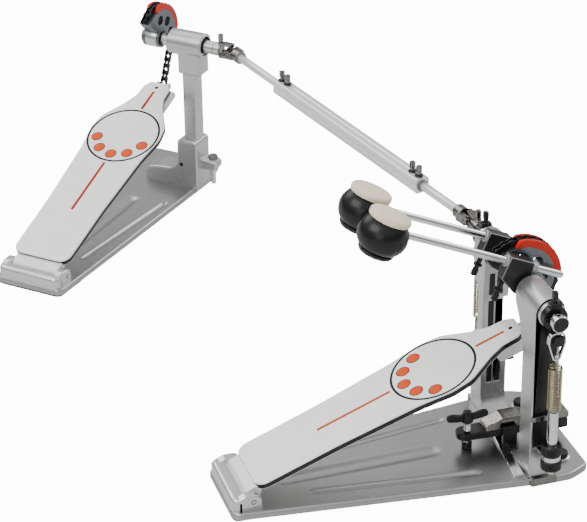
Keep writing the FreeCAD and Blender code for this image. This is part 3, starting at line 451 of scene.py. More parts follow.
# footboards
board = {
    "halfWidths": [(38, 9), (38.5, 99), (43, 190), (48.5, 226), (45.5, 249), (27.5, 277), (19.5, 295),
                   (18.5, 313), (12.5, 322)],
    "radii": [13, 80, 90, 34, 26, 26, 18, 3, 3],
    "top": 11.7, "under": 4.7, "edge": 1.0,
    "circle": 223, "ringRadius": 45, "ringWidth": 2.6,
    "dotRing": 33.3, "dotRadius": 7.4, "dotAngles": (198, 234, 270, 306, 342),
    "stripes": ((90, 174), (272, 305)), "stripeHalf": 1.8,
    "holeAt": 312.5, "holeRadius": 2.3,
    "barrel": [(-7.2, -7.2), (7.2, -7.2), (16, 4.9), (16, 9), (6, 8.6), (-7.2, 7.2)],
    "skirt": [(287, -7), (292, -8), (323, -8), (323, -2), (318, 5.2), (284, 5.2)],
    "ear": [(308, -2.6), (331.6, -2.6), (331.6, 6.6), (308, 6.6)],
}


def footboard(side, stripePaint):
    matrix = boardFrames[side]
    body = side + "_footboard"
    right = np.array(board["halfWidths"], float)
    outline = np.concatenate([right, right[::-1] * (-1, 1)])
    rows = softEdges(board["under"], board["top"], board["edge"], 2)
    bands = [0, 0, 0, 1, 1, 1, 0, 0, 0]  # the board's side takes the dark painted reflection
    parts = [plate(rounded(outline, board["radii"] + board["radii"][::-1], 8), rows, matrix, bands=bands)]
    # hinge barrel: a round about the pin, with a flat web running into the board
    barrel = rounded(board["barrel"], [7, 7, 1.3, 1.3, 4, 7])
    parts.append(plate(barrel, softEdges(-30.7, 30.7, 0.9), matrix, "x"))
    parts += mirrored(rounded(board["skirt"], [3, 3, 4, 2, 1.2, 1.2]), 14.6, 18.4, 0.8, matrix)
    parts += mirrored(rounded(board["ear"], [1, 4.5, 4.5, 1]), 5.2, 9, 0.6, matrix)
    piece(side + "BoardCasting", parts, [satinAluminium, darkReflectionEdge], body, (body,),
          flat=matrix)

    top = board["top"]
    dots, grooveAndHoleShades, stripes = [], [], []
    for angle in board["dotAngles"]:
        a = radians(angle)
        spot = at(board["dotRing"] * cos(a), board["circle"] + board["dotRing"] * sin(a), 0, matrix)
        r = board["dotRadius"]
        # each dot's side and outer rim take the painted shade of the recess round it
        dots.append(turned([(r, top - 1), (r, top + 0.1), (r - 0.35, top + 0.18), (r - 0.9, top + 0.12),
                            (r - 1.2, top + 0.2), (0.5, top + 0.25)], spot, bands=[1, 1, 1, 0, 0]))
    # the ring groove, drawn as a dark band of painted shade
    r, half = board["ringRadius"], board["ringWidth"] / 2
    ringRows = [(r - half, top - 0.4), (r - half, top + 0.1), (r + half, top + 0.1), (r + half, top - 0.4),
                (r - half, top - 0.4)]
    grooveAndHoleShades.append(turned(ringRows, at(0, board["circle"], 0, matrix), steps=96, caps=False))
    # the hole, drawn as a dark disc of painted shade
    r = board["holeRadius"]
    holeShadeDisc = [(r, top - 1), (r, top + 0.08), (r - 0.3, top + 0.1)]
    grooveAndHoleShades.append(turned(holeShadeDisc, at(0, board["holeAt"], 0, matrix), steps=24))
    w = board["stripeHalf"]
    stripeRows = [(0, top - 0.8), (0, top + 0.12), (0.4, top + 0.25), (1.5, top + 0.25)]
    for start, end in board["stripes"]:
        stripes.append(plate(block(-w, w, start, end, 1.0, 3), stripeRows, matrix))
    piece(side + "BoardDots", dots, [orangeEnamel, grooveAndHoleShade], body, (side + "_board_inlays",),
          flat=matrix)
    piece(side + "BoardStripes", stripes, stripePaint, body, flat=matrix)
    piece(side + "BoardLines", grooveAndHoleShades, grooveAndHoleShade, body)


footboard("primary", stripeEnamel)
footboard("secondary", redStripeEnamel)
for side in ("primary", "secondary"):
    nodes[side + "_toe_pin"].data.materials.clear()
    nodes[side + "_toe_pin"].data.materials.append(chromePlate)
print("footboards made")


# base plates and heel blocks
bases = {
    "primary": {"matrix": primaryFrame, "edge": [(-317.85, 45.6), (11, 86), (29, 86), (53, 74)],
                "channels": [((31.5, -228), (53, -62), 4.6, 2.4), ((0, -250), (0, -92), 10.5, 2.2)]},
    "secondary": {"matrix": secondaryFrame, "edge": [(-317.85, 45.6), (26, 60), (68, 48)],
                  "channels": [((27, -234), (43, -70), 4.2, 2.4), ((0, -262), (0, -78), 9, 2.2)]},
}  # a channel has two ends, a half width and a depth
pressing = {"low": 3.0, "top": 10.0, "edgeRound": 3.2, "endZone": 12, "cornerHeel": 9, "cornerFront": 7}


def basePlate(side):
    # a section carried along the plate: half width by station, the top lowered by the edge's quarter round and
    # by channels, each deep s s (3 - 2 s) for a share s that falls off with the distance from its middle line
    spec, top, endZone = bases[side], pressing["top"], pressing["endZone"]
    ends = np.array(spec["edge"], float)
    start, end = ends[0, 0], ends[-1, 0]
    inner = np.linspace(start + endZone, end - endZone, 150)
    near = endZone * (1 - np.cos(np.linspace(0, pi / 2, 14)[:-1]))  # rows crowd towards both ends
    y = np.concatenate([start + near, inner, (end - near)[::-1]])
    soft = np.array([np.interp(y + d, ends[:, 0], ends[:, 1]) for d in (-4, -2, 0, 2, 4)]).mean(0)
    fromHeel, fromFront = y - start, end - y
    curve = lambda r, d: r - np.sqrt(np.maximum(r * r - np.maximum(r - d, 0) ** 2, 0))
    half = soft - curve(pressing["cornerHeel"], fromHeel) - curve(pressing["cornerFront"], fromFront)
    evenly = np.linspace(-1, 1, 121)
    u = 0.75 * np.sin(evenly * pi / 2) + 0.25 * evenly  # columns crowd towards both sides
    x = half[:, None] * u[None]
    yy = np.broadcast_to(y[:, None], x.shape)
    inside = np.minimum(half[:, None] - np.abs(x), np.minimum(fromHeel, fromFront)[:, None])
    z = top - curve(pressing["edgeRound"], inside)
    for a, b, width, deep in spec["channels"]:
        for sign in (-1, 1):
            p, q = np.array(a) * (sign, 1), np.array(b) * (sign, 1)
            d = q - p
            t = np.clip(((x - p[0]) * d[0] + (yy - p[1]) * d[1]) / (d @ d), 0, 1)
            away = np.hypot(x - p[0] - t * d[0], yy - p[1] - t * d[1])
            s = np.clip(1.25 - away / width, 0, 1)
            z = np.minimum(z, top - deep * s * s * (3 - 2 * s))
    grid = np.stack([x, yy, z], -1)
    under = np.stack([x[:, ::-1][:, [0, -1]], yy[:, :2], np.full((len(y), 2), pressing["low"])], -1)
    return shell(place(np.concatenate([grid, under], 1), spec["matrix"]))


for side in ("primary", "secondary"):
    piece(side + "BasePressing", [basePlate(side)], platedSteel, "root", (side + "_base_plate",),
          sharp=50)

heel = {"half": 41.5, "back": -317.0, "barFront": -301, "low": 5.0, "top": 23.5, "earInner": 31.3,
        "ear": [(-312, 5.0), (-284.6, 5.0), (-286.2, 26.2), (-303.5, 26.2), (-312, 22)],
        "pinAhead": -294.8, "pinHeight": 18.4}


def heelBlock(matrix):
    # a bar with well rounded top edges behind the hinge, and an ear at each end that wraps the pin
    half = heel["half"]
    bar = block(-half, half, heel["back"], heel["barFront"], [8, 8, 6, 6])
    shapes = [plate(bar, softEdges(heel["low"], heel["top"], 4.2, 5), matrix)]
    ear = rounded(heel["ear"], [3.2, 3.2, 8.2, 6, 4], 8)
    return shapes + mirrored(ear, heel["earInner"], half, 2.2, matrix, 4)


piece("heelBlockCastings", heelBlock(primaryFrame) + heelBlock(secondaryFrame), polishedCasting, "root",
      ("heel_blocks",))
pins = []
for matrix in (primaryFrame, secondaryFrame):
    for sign in (-1, 1):
        rows = [(2.6, sign * 30), (2.6, sign * 41.7), (2.2, sign * 41.8), (1.4, sign * 41.2)]
        pins.append(turned(rows, at(0, heel["pinAhead"], heel["pinHeight"], matrix), "x", 24))
piece("hingePinEnds", pins, blackOxide, "root", ("hinge_pins",))
softened("rubber_pads", 0.7, mouldedRubber)
heelPad = rounded([(-43.5, -316.8), (43.5, -316.8), (45.5, -270), (-45.5, -270)], [8, 8, 2, 2])
pads = [plate(heelPad, softEdges(0.2, 3.2, 0.5), matrix) for matrix in (primaryFrame, secondaryFrame)]
piece("heelPads", pads, mouldedRubber, "root")
print("bases and heel blocks made")


# cams, rims and chains
chainLook = {"pitchRadius": 40.0, "pitch": 8.4, "plateHalf": 4.6, "waist": 2.8, "backAngle": 131.0,
             "bendFrom": 78.0}  # the angles are from straight ahead, up and over the cam
rims = {"inner": 35.0, "outer": 43.5, "from": -6, "to": 101, "near": 4.0, "far": 8.4}
armFrames = {"primary": primaryFrame, "secondary": secondaryFrame}


def camRims(matrix):
    # a strip bent round the axle, its section a squared ellipse (cos t ** 0.45, sin t ** 0.45), thinner over
    # its last few degrees
    a = np.radians(np.linspace(rims["from"], rims["to"], 60))
    share = np.clip(np.minimum(a - a[0], a[-1] - a) / radians(7), 0, 1) * 0.75 + 0.25
    shapes = []
    for sign in (-1, 1):
        middle, half = sign * (rims["near"] + rims["far"]) / 2, (rims["far"] - rims["near"]) / 2
        t = np.linspace(0, 2 * pi, 28, endpoint=False)
        across = middle + half * np.sign(np.cos(t)) * np.abs(np.cos(t)) ** 0.45
        up = 0.5 + 0.5 * np.sign(np.sin(t)) * np.abs(np.sin(t)) ** 0.45
        radius = rims["inner"] + (rims["outer"] - rims["inner"]) * up[None] * share[:, None]
        grid = np.stack([np.broadcast_to(across, radius.shape), radius * np.cos(a)[:, None],
                         axleHeight + radius * np.sin(a)[:, None]], -1)
        shapes.append(shell(place(grid, matrix)))
    return shapes


def toeOf(side):
    low, high = boxOf(side + "_toe_pin")
    return place((low + high) / 2, np.linalg.inv(armFrames[side]))


def chainLinks(side):
    # links set a pitch apart up the straight run from the toe pin and then round the cam
    matrix = armFrames[side]
    r, pitch = chainLook["pitchRadius"], chainLook["pitch"]
    toe = toeOf(side)
    reach = hypot(toe[1], axleHeight - toe[2])
    straight = np.sqrt(reach ** 2 - r ** 2)
    lean = pi / 2 - atan2(toe[1], axleHeight - toe[2]) - np.arccos(r / reach)
    total = straight + r * (radians(chainLook["backAngle"]) + lean)
    count = int(total / pitch)
    spots = (np.arange(count) + 0.5) * pitch + 0.5
    angle = np.where(spots < straight, -lean, -lean + (spots - straight) / r)
    down = np.maximum(straight - spots, 0)
    y = r * np.cos(angle) - down * sin(lean)
    z = r * np.sin(angle) - down * cos(lean)
    links = np.zeros((count, 4, 4))
    links[:, 0, 0] = links[:, 3, 3] = 1
    links[:, 1, 1], links[:, 2, 1] = -np.sin(angle), np.cos(angle)  # along the chain
    links[:, 1, 2], links[:, 2, 2] = np.cos(angle), np.sin(angle)  # away from the cam
    links[:, 1, 3], links[:, 2, 3] = y, z + axleHeight
    links = matrix[None] @ links
    half, height, waist = pitch / 2, chainLook["plateHalf"], chainLook["waist"]
    end = half + 3.6
    linkPlate = rounded([(-end, -height), (0, -waist), (end, -height), (end, height), (0, waist), (-end, height)],
                        [3.9, 5, 3.9, 3.9, 5, 3.9], 3)
    outer = [plate(linkPlate, [(0.25, low), (0, low + 0.2), (0, low + 0.9)], across="x") for low in (2.7, -3.6)]
    inner = [plate(linkPlate, [(0, low), (0, low + 0.9)], across="x") for low in (1.7, -2.6)]
    pin = turned([(1.5, -4.0), (1.5, 4.0)], at(0, half, 0), "x", 8)
    roller = turned([(2.3, -1.8), (2.3, 1.8)], at(0, half, 0), "x", 10)
    shapes = [repeated(s, links[0::2]) for s in outer] + [repeated(s, links[1::2]) for s in inner]
    shapes += [repeated(pin, links), repeated(roller, links)]
    chain = piece(side + "RollerChain", shapes, chainSteel, None)
    # the ends of a bend, from a point up the cam to just past where the chain leaves it, are worked out here but
    # not used
    high, past = radians(chainLook["bendFrom"]), 4
    turn = np.array([[0, r * cos(high), axleHeight + r * sin(high)],
                     [0, r * cos(lean) - past * sin(lean), axleHeight - r * sin(lean) - past * cos(lean)]])
    turn = place(turn, matrix) / metre
    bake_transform(chain)
    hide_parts(side + "_chain_wrap", side + "_chain_drop")


for side in ("primary", "secondary"):
    softened(side + "_cam", 0.4, camCasting)
    piece(side + "CamGuides", camRims(armFrames[side]), redNylon, side + "_axle", (side + "_cam_rims",))
    chainLinks(side)
print("cams and chains made")


# axles, hubs and beaters
def hexBar(start, end, radius, matrix):
    return plate(rounded(circle(radius, 6), 0.8, 2), softEdges(start, end, 0.5), matrix, "x")


hub = {"primary": 19.0, "second": -36.0, "half": 6.8, "offset": 19.0, "keyAt": 27, "rotor": 89.0,
       "outline": [(26, 32.6), (26, 5), (13, 3), (9, -8.5), (-8, -10.5), (-13, 0), (-10, 14), (1, 32.6)],
       "radii": [1.6, 2, 4, 4, 5, 4, 6, 1.6]}
beater = {"rod": 3.9, "tail": 34, "reach": 173, "bulb": 25.9, "felt": 18.6, "waveHeight": 0.11}


def beaterSet(prefix):
    across, h = hub[prefix], hub["half"]
    axleBody = prefix + "_axle"
    rodFrame, keyFrame = at(across, hub["offset"], 0, beaterFrame), at(across, 0, hub["keyAt"], beaterFrame)
    outline = rounded(hub["outline"], hub["radii"], 4)
    casting = plate(outline, softEdges(across - h, across + h, 1.0), beaterFrame, "x")
    # round bosses where the rod enters and leaves, and a screw on the outer face
    boss = turned([(5.6, -2), (6.2, -1.4), (6.2, 33.6), (5.6, 34.2)], rodFrame)
    piece(prefix + "BeaterHub", [casting, boss], blackAnodised, axleBody, (prefix + "_beater_hub",))
    outside = across + h
    screw = [turned([(4.2, outside - 0.4), (4.2, outside + 0.5), (3.8, outside + 0.9), (1.7, outside + 0.9),
                     (1.5, outside + 0.1)], beaterFrame, "x", 24)]
    angle = rounded([(-9, -9), (6, -9), (8, 2), (3, 16), (-8, 12)], [2, 2, 2, 3, 3])
    screw.append(plate(angle, softEdges(across - h - 5.4, across - h + 0.2, 0.8), beaterFrame, "x"))
    piece(prefix + "HubFittings", screw, nickelPlate, axleBody)
    # drum-key bolt: a shank and a tall square head under the hub
    key = [turned([(2.6, -20), (2.6, -4)], keyFrame, "y", 20), keyHead(-25, -17, keyFrame, "y"),
           turned([(4.4, -13.4), (4.8, -13), (4.8, -11.6)], keyFrame, "y", 24)]
    side = 1 if prefix == "primary" else -1
    rotorTop = at(side * hub["rotor"], 0, axleHeight + 15.2)
    key += [turned([(2.6, 0), (2.6, 8)], rotorTop, steps=20),
            turned([(4.6, 0), (4.6, 1.4), (4.2, 1.8)], rotorTop, steps=24), keyHead(5.6, 13.5, rotorTop)]
    piece(prefix + "KeyBolts", key, blackOxide, axleBody, (prefix + "_key_bolts",))
    rod, tail, reach = beater["rod"], beater["tail"], beater["reach"]
    rows = [(rod - 1.2, -tail), (rod, 1.2 - tail), (rod, reach + 6), (rod - 1, reach + 7)]
    piece(prefix + "BeaterRod", [turned(rows, rodFrame, steps=32)], chromePlate, prefix + "_beater",
          (prefix + "_beater_rod",))
    seat = frameAt(place(np.array([across, hub["offset"], reach]), beaterFrame), (1, 0, 0), -rodDirection)
    # bulb: a foot, a groove, then a round swell (R cos(t) ** 0.8, 21.5 sin t) that closes in under the felt
    t = np.radians(np.linspace(-52, 44, 16))
    swell = np.stack([beater["bulb"] * np.cos(t) ** 0.8, -5 + 21.5 * np.sin(t)], 1)
    foot = [(9, -27), (15.6, -27), (16.8, -26.2), (18.4, -23.8), (18.6, -23), (18.2, -22.4)]
    bulb = np.concatenate([foot, swell, [(20.6, 11.3), (19, 11.6)]])
    piece(prefix + "BeaterBulb", [turned(bulb, seat, steps=72)], mouldedPlastic, prefix + "_beater",
          (prefix + "_beater_bulb",), sharp=40)
    # felt: a disc with a soft shoulder and a crowned face, its surface lifted by low waves of the wool
    a, inward = np.radians(np.linspace(0, 84, 9)), np.linspace(17.4, 0.6, 14)
    shoulder = np.stack([beater["felt"] + 3.1 * np.cos(a), 14.6 + 3.0 * np.sin(a)], 1)
    face = np.stack([inward, 18.9 - 1.1 * (inward / beater["felt"]) ** 2], 1)
    felt = np.concatenate([[(20.6, 10.9), (21.5, 11.8)], shoulder, face])
    disc = turned(felt, primaryFrame, steps=96)
    p = disc["points"]
    wave = (np.sin(p[:, 0] * 0.9 + 1.3 * np.sin(p[:, 1] * 0.7)) * np.sin(p[:, 1] * 1.1 + across)
            + 0.6 * np.sin(p[:, 0] * 2.3 + p[:, 2] * 3.1) * np.sin(p[:, 1] * 2.7)) * beater["waveHeight"]
    disc["points"] = place(p * (1 + wave[:, None] / 40) + wave[:, None] * (0, 0, 1), seat)
    pad = piece(prefix + "BeaterFelt", [disc], pressedFelt, prefix + "_beater",
                (prefix + "_beater_felt",), sharp=60)


beaterSet("primary")
beaterSet("second")
piece("hexAxle", [hexBar(-14, 93.5, 6.15, nearAxle)], chromePlate, "primary_axle", ("primary_axle",))
cap = [(6.6, 99), (8.4, 99.2), (9.0, 99.9), (9.0, 104.9), (8.6, 105.5), (8.0, 105.5), (7.6, 104.9),
       (4.2, 104.9), (3.9, 105.3), (2.2, 105.4)]  # a chrome ring round a dark face
piece("axleCap", [turned(cap, nearAxle, "x", bands=[0, 0, 0, 0, 0, 1, 1, 1, 1])], [chromePlate, blackOxide],
      "primary_axle")
softened("second_beater_axle", 0.4, nickelPlate)
softened("secondary_axle", 0.4, nickelPlate)
# round hub on the far axle with a dark disc of painted shade for its key hole, a pale hex sleeve and a bright
# sleeve past the housing
farHub = [(6.2, -10.5), (9.6, -10.5), (11.4, -9.5), (12.4, -7.5), (12.4, 5.6), (11.6, 7.2), (10.2, 8), (6.2, 8)]
piece("farCamCollar", [turned(farHub, farAxle, "x", 48)], polishedCasting, "secondary_axle")
holeShadeDisc = turned([(2.6, 11.5), (2.6, 12.5), (2.2, 12.62), (0.5, 12.5)], tilt(farAxle, 122, (-4, 0, 0)), "y", 24)
piece("farCollarHole", [holeShadeDisc], blackOxide, "secondary_axle")
farRing = turned([(8.0, 8), (9.6, 8.2), (9.6, 10.8), (8.6, 11.2)], farAxle, "x")
piece("farHubGap", [farRing], blackOxide, "secondary_axle")
farSleeve = [(6.2, 70.2), (7.6, 70.4), (8.2, 71), (8.2, 83.4), (7.8, 83.8), (7.8, 84.6), (8.6, 85), (8.6, 92)]
piece("farAxleSleeves", [hexBar(11, 23.8, 7.8, farAxle), turned(farSleeve, farAxle, "x")], polishedCasting,
      "secondary_axle")
softened("primary_spring_rotor", 0.6, blackOxide)
softened("second_spring_rotor", 0.6, blackOxide)
print("axles and beaters made")


# posts, bearings and bands
post = {"outer": 80, "inner": 52, "sink": 2.4, "floor": 46, "slotTop": axleHeight - 56, "archRadius": 14.4,
        "rightSlots": ((-11.5, -3), (-1, 7.5)), "leftSlots": ((-9.5, -3.5), (-1, 5.5)),
        "leftUpper": (152, 186), "leftUpperFace": (-52.4, -50.9)}

for name in ("primary_right_post", "primary_left_post"):
    softened(name, 0.8, castAluminium)


def darkStrip(start, end, bottom, top, low, high, corner=0.4):
    # a thin dark strip on a post's face: a panel let into it, or a sheet of painted shade
    return plate(block(start, end, bottom, top, corner, 2), [(0, low), (0, high)], across="x")


aprons = mirrored(block(-16, 12, 3.6, 13.4, 1.4, 3), 78, 87.4, 0.9)
panelsAndShade, bosses, buffers = [], [], []
low, high = post["outer"] - 2.95, post["outer"] - post["sink"]
panelsAndShade.append(darkStrip(-13, 9, post["floor"], axleHeight, low, high, 0.5))
panelsAndShade.append(turned([(post["archRadius"], low - 0.02), (post["archRadius"], high + 0.02)], nearAxle, "x", 64))
# the slot panels on the inner faces run wider than the slots: painted shade of the faces beside them
for sign, slotsAndShade in ((-1, post["leftSlots"]), (1, post["rightSlots"])):
    low, high = sorted((sign * (post["inner"] + 2.2), sign * (post["inner"] + 2.95)))
    panelsAndShade += [darkStrip(start, end, post["floor"], post["slotTop"], low, high) for start, end in slotsAndShade]
    bossRows = [(14, sign * 77), (14, sign * 83.4), (13, sign * 84.4), (6.6, sign * 84.4)]
    bosses.append(turned(bossRows, nearAxle, "x", 56))
    near, far = sorted((sign * 57, sign * 82.6))
    buffers.append(plate(block(near, far, 13, 23.6, 1.8, 4), softEdges(65.5, 78.1, 1.2)))
# dark sheets over the left post's upper inner face: painted shade
panelsAndShade += [darkStrip(start, end, *post["leftUpper"], *post["leftUpperFace"]) for start, end in post["leftSlots"]]
piece("postPanels", panelsAndShade, blackPanelAndShade, "root", ("post_inserts",))
piece("postAprons", aprons, nickelPlate, "root")
softened("axle_bearings", 0.4, blackOxide)
piece("bearingBosses", bosses, polishedCasting, "root")
softened("post_brackets", 0.6, nickelPlate)
piece("hoopBuffers", buffers, mouldedRubber, "root")
print("posts made")


# return springs
spring = {"across": 97.0, "coil": 6.9, "wire": 0.68, "top": 149.5, "low": 99.0, "turns": 27,
          "studDrop": 21, "eyeDrop": 18, "eyeLow": 83.5, "hook": 3.0, "lowHook": 2.1, "strap": 1.7}


def springPiece(prefix, sign):
    # a helix (g sin t, g cos t, falling with t) whose radius g grows from the axis over its first turn and
    # shrinks over its last, with a ring at each end
    s = spring
    x, r, eyeTop = sign * s["across"], s["hook"], axleHeight - s["studDrop"] - s["eyeDrop"]
    section = circle(s["wire"], 8)
    k = np.linspace(0, 1, s["turns"] * 22)
    grow = np.clip(np.minimum(k, 1 - k) * s["turns"] / 0.8, 0, 1)
    grow = grow * grow * (3 - 2 * grow) * s["coil"]
    turn = k * s["turns"] * 2 * pi
    coil = np.stack([x + grow * np.sin(turn), grow * np.cos(turn), s["top"] + (s["low"] - s["top"]) * k], 1)
    shapes = [tube(coil, section, (0, 0, 1))]
    a = np.radians(np.linspace(-20, 290, 30))
    ringTop = np.stack([np.full(30, x), r * np.sin(a), eyeTop - 1.6 + r * np.cos(a)], 1)
    neckTop = np.array([ringTop[-1], [x, 0, eyeTop - 6.5], [x, 0, s["top"] - 0.5]])
    r = s["lowHook"]
    ringLow = np.stack([np.full(30, x), r * np.sin(a), s["eyeLow"] + 1.6 - r * np.cos(a)], 1)
    neckLow = np.array([ringLow[-1], [x, 0, s["eyeLow"] + 6.5], [x, 0, s["low"] + 0.5]])
    for part in (ringTop, neckTop, ringLow, neckLow):
        shapes.append(tube(part, section, (1, 0, 0)))
    coilPiece = piece(prefix + "ReturnCoil", shapes, springWire, None, sharp=60)
    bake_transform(coilPiece)
    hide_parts(prefix + "_return_spring", prefix + "_spring_eye")


def springLink(prefix, sign):
    # teardrop link: tangent sides from a round about the stud to a small round about the hook, with its opening
    x, high, thick = sign * spring["across"], axleHeight - spring["studDrop"], spring["strap"]
    low, top = x - 2.6, x + 2.6
    outer = rounded([(-8.5, high + 8.5), (8.5, high + 8.5), (9.6, high - 4), (3.6, high - 23),
                     (-3.6, high - 23), (-9.6, high - 4)], [8.5, 8.5, 9, 3.5, 3.5, 9], 8)
    strap = [(0.4, low), (0, low + 0.4), (0, top - 0.4), (0.4, top), (thick - 0.4, top), (thick, top - 0.4),
             (thick, low + 0.4), (thick - 0.4, low), (0.4, low)]
    hookPin = turned([(2.0, low + 0.2), (2.0, top - 0.2)], at(z=high - spring["eyeDrop"]), "x", 20)
    piece(prefix + "TeardropLink", [plate(outer, strap, across="x", caps=False), hookPin], chromePlate,
          prefix + "_spring_link", (prefix + "_spring_link",))
    # the bearing wheel that fills the loop's round end: a face ring, a groove and a hub
    face = [(7.0, -2.4), (7.0, 2.6), (6.5, 3.1), (4.6, 3.1), (4.2, 2.3), (3.2, 2.3), (2.9, 3.5), (2.2, 3.9),
            (0.6, 3.9)]
    wheel = turned(np.array(face) * (1, sign) + (0, x), at(z=high), "x")
    piece(prefix + "LinkBearing", [wheel], blackOxide, prefix + "_spring_link")


for prefix, sign in (("primary", 1), ("second", -1)):
    springPiece(prefix, sign)
    springLink(prefix, sign)
softened("spring_clevis_studs", 0.3, chromePlate)
nut = {"radius": 10.6, "ribs": 30, "spans": ((47.2, 59), (30, 41.8))}


def knurledNut(x, low, high):
    # radius by angle and height: ribs as a rounded square wave tanh(cos(n a)), faded out at both chamfers
    a = np.linspace(0, 2 * pi, nut["ribs"] * 8, endpoint=False)
    h = np.array([low, low + 0.2, low + 1.2, low + 1.6, high - 1.6, high - 1.2, high - 0.2, high])
    base = nut["radius"] - np.array([4, 1.6, 0.5, 0, 0, 0.5, 1.6, 4])
    depth = np.array([0, 0, 0.3, 0.7, 0.7, 0.3, 0, 0])
    wave = 0.5 + 0.5 * np.tanh(2.2 * np.cos(nut["ribs"] * a))
    r = base[:, None] - depth[:, None] * wave[None]
    return shell(np.stack([x + r * np.cos(a), r * np.sin(a), np.broadcast_to(h[:, None], r.shape)], -1))


nuts = [knurledNut(s * spring["across"], *span) for s in (-1, 1) for span in nut["spans"]]
piece("adjusterNuts", nuts, blackOxide, "root", ("spring_adjuster_nuts",))
ringRows = [(8.4, 41.9), (9.4, 42.1), (9.4, 46.9), (8.4, 47.2)]
rings = [turned(ringRows, at(s * spring["across"])) for s in (-1, 1)]
piece("adjusterRings", rings, chromePlate, "root")
print("springs made")


# drive shaft
drive = {"start": 118, "end": 428, "half": 8.6, "groove": 1.0, "boltsAt": (125, 138, 408, 421), "boltSeat": 8.5,
         "collars": ([(6.0, 114.4), (6.6, 115), (6.6, 117.4), (6.2, 117.8)],
                     [(6.2, 428.2), (6.6, 428.6), (6.6, 431), (6.0, 431.6)]),
         "sleeves": ([(4.9, 25), (5.1, 25.4), (5.1, 117), (4.9, 117.4)],
                     [(4.9, 431), (5.1, 431.4), (5.1, 494.5), (4.9, 495)]),
         "jointBolts": (("leftJointBolts", 92, secondaryFrame, "secondary_axle"),
                        ("rightJointBolts", -109.5, primaryFrame, "second_axle"))}
# a square with a shallow groove along each side, made of four turned quarters
side, dip = drive["half"], drive["half"] - drive["groove"]
quarter = np.array([(side, -1.7), (dip, -0.6), (dip, 0.6), (side, 1.7), (side, side)])
turns = [np.array([[cos(a), -sin(a)], [sin(a), cos(a)]]) for a in (0, pi / 2, pi, 3 * pi / 2)]
tubeOutline = rounded(np.concatenate([quarter @ t.T for t in turns]), [0.3, 0.3, 0.3, 0.3, 2.4] * 4, 3)
tubeShape = plate(tubeOutline, softEdges(drive["start"], drive["end"], 0.2, 2), shaftFrame, "x")
piece("driveTube", [tubeShape], silverTube, "drive_shaft", ("drive_tube",))
collars = [turned(rows, shaftFrame, "x") for rows in drive["collars"]]
piece("tubeCollars", collars, nickelPlate, "drive_shaft")
softened("drive_inner_rods", 0.35, nickelPlate)
sleeves = [turned(rows, shaftFrame, "x", 28) for rows in drive["sleeves"]]
piece("innerRodSleeves", sleeves, silverTube, "drive_shaft")
bolts, washers = [], []
for along in drive["boltsAt"]:
    head = at(along, 0, drive["boltSeat"], shaftFrame)
    bolts += [turned([(2.3, 0), (2.3, 6)], head, steps=16), keyHead(4, 12.5, head)]
    washers.append(turned([(4.7, 0), (4.7, 1.2), (4.3, 1.6)], head, steps=24))
piece("clampBolts", bolts, nickelPlate, "drive_shaft", ("drive_clamp_bolts",))
piece("clampWashers", washers, blackOxide, "drive_shaft")
for name in ("left_joint_cross", "right_joint_cross"):
    softened(name, 0.5, nickelPlate)
# tall key bolts on the joints' hubs
for name, across, base, body in drive["jointBolts"]:
    spot = at(across, 0, axleHeight, base)
    shapes = [turned([(2.6, 7), (2.6, 14)], spot, steps=20),
              turned([(4.0, 7.2), (4.0, 9), (3.6, 9.4)], spot, steps=20), keyHead(11.5, 20.5, spot)]
    piece(name, shapes, nickelPlate, body)
print("drive shaft made")


# secondary column
column = {"across": 50.0, "half": 9.5, "headLow": 163.0, "headDeep": 12.5, "socketTop": 74.0,
          "socketDeep": 16.5,
          "bore": [(15.0, 23.6), (15.6, 23.8), (16.0, 24.4), (16.0, 69.2), (15.4, 70), (12.2, 70), (11.9, 69.6),
                   (11.9, 66.5)]}


def columnPieces():
    # a square bar, a head over it and the bearing's barrel across the head, dark inside its mouth
    c, half, deep = column["across"], column["half"], column["headDeep"]
    bar, head = block(c - half, c + half, -half, half, 2.6), block(c - 14, c + 18, -deep, deep, 4.0)
    return [plate(bar, softEdges(21, 166, 0.5), secondaryFrame),
            plate(head, softEdges(column["headLow"], axleHeight, 2.6, 4), secondaryFrame),
            turned(column["bore"], farAxle, "x", 64, bands=[0, 0, 0, 0, 0, 1, 1])]


def socketPieces():
    # the socket with its foot as one outline seen from the heel, and a lug for the spur
    m, top, deep = secondaryFrame, column["socketTop"], column["socketDeep"]
    body = rounded([(-14, 4.5), (62, 4.5), (62, top), (33.5, top), (32, 33), (0, 30), (-14, 26)],
                   [3.6, 3.6, 5, 5, 15, 12, 10], 8)
    lug = rounded([(56, 35), (84, 36), (84, 47), (56, 50)], [2.4, 4, 4, 2.4])
    return [plate(body, softEdges(-deep, deep, 2.5, 4), m, "y"), plate(lug, softEdges(-9, 9, 1.6), m, "y")]


piece("farColumn", columnPieces(), [castAluminium, blackOxide], "root", ("secondary_column",))
piece("farSocket", socketPieces(), castAluminium, "root", ("secondary_column_socket",))
dot = [turned([(2.4, -16.3), (2.4, -16.9), (2.0, -17.0), (0.5, -16.9)], at(39, 0, 40, secondaryFrame), "y", 24)]
piece("socketSetScrew", dot, blackOxide, "root")
print("column made")


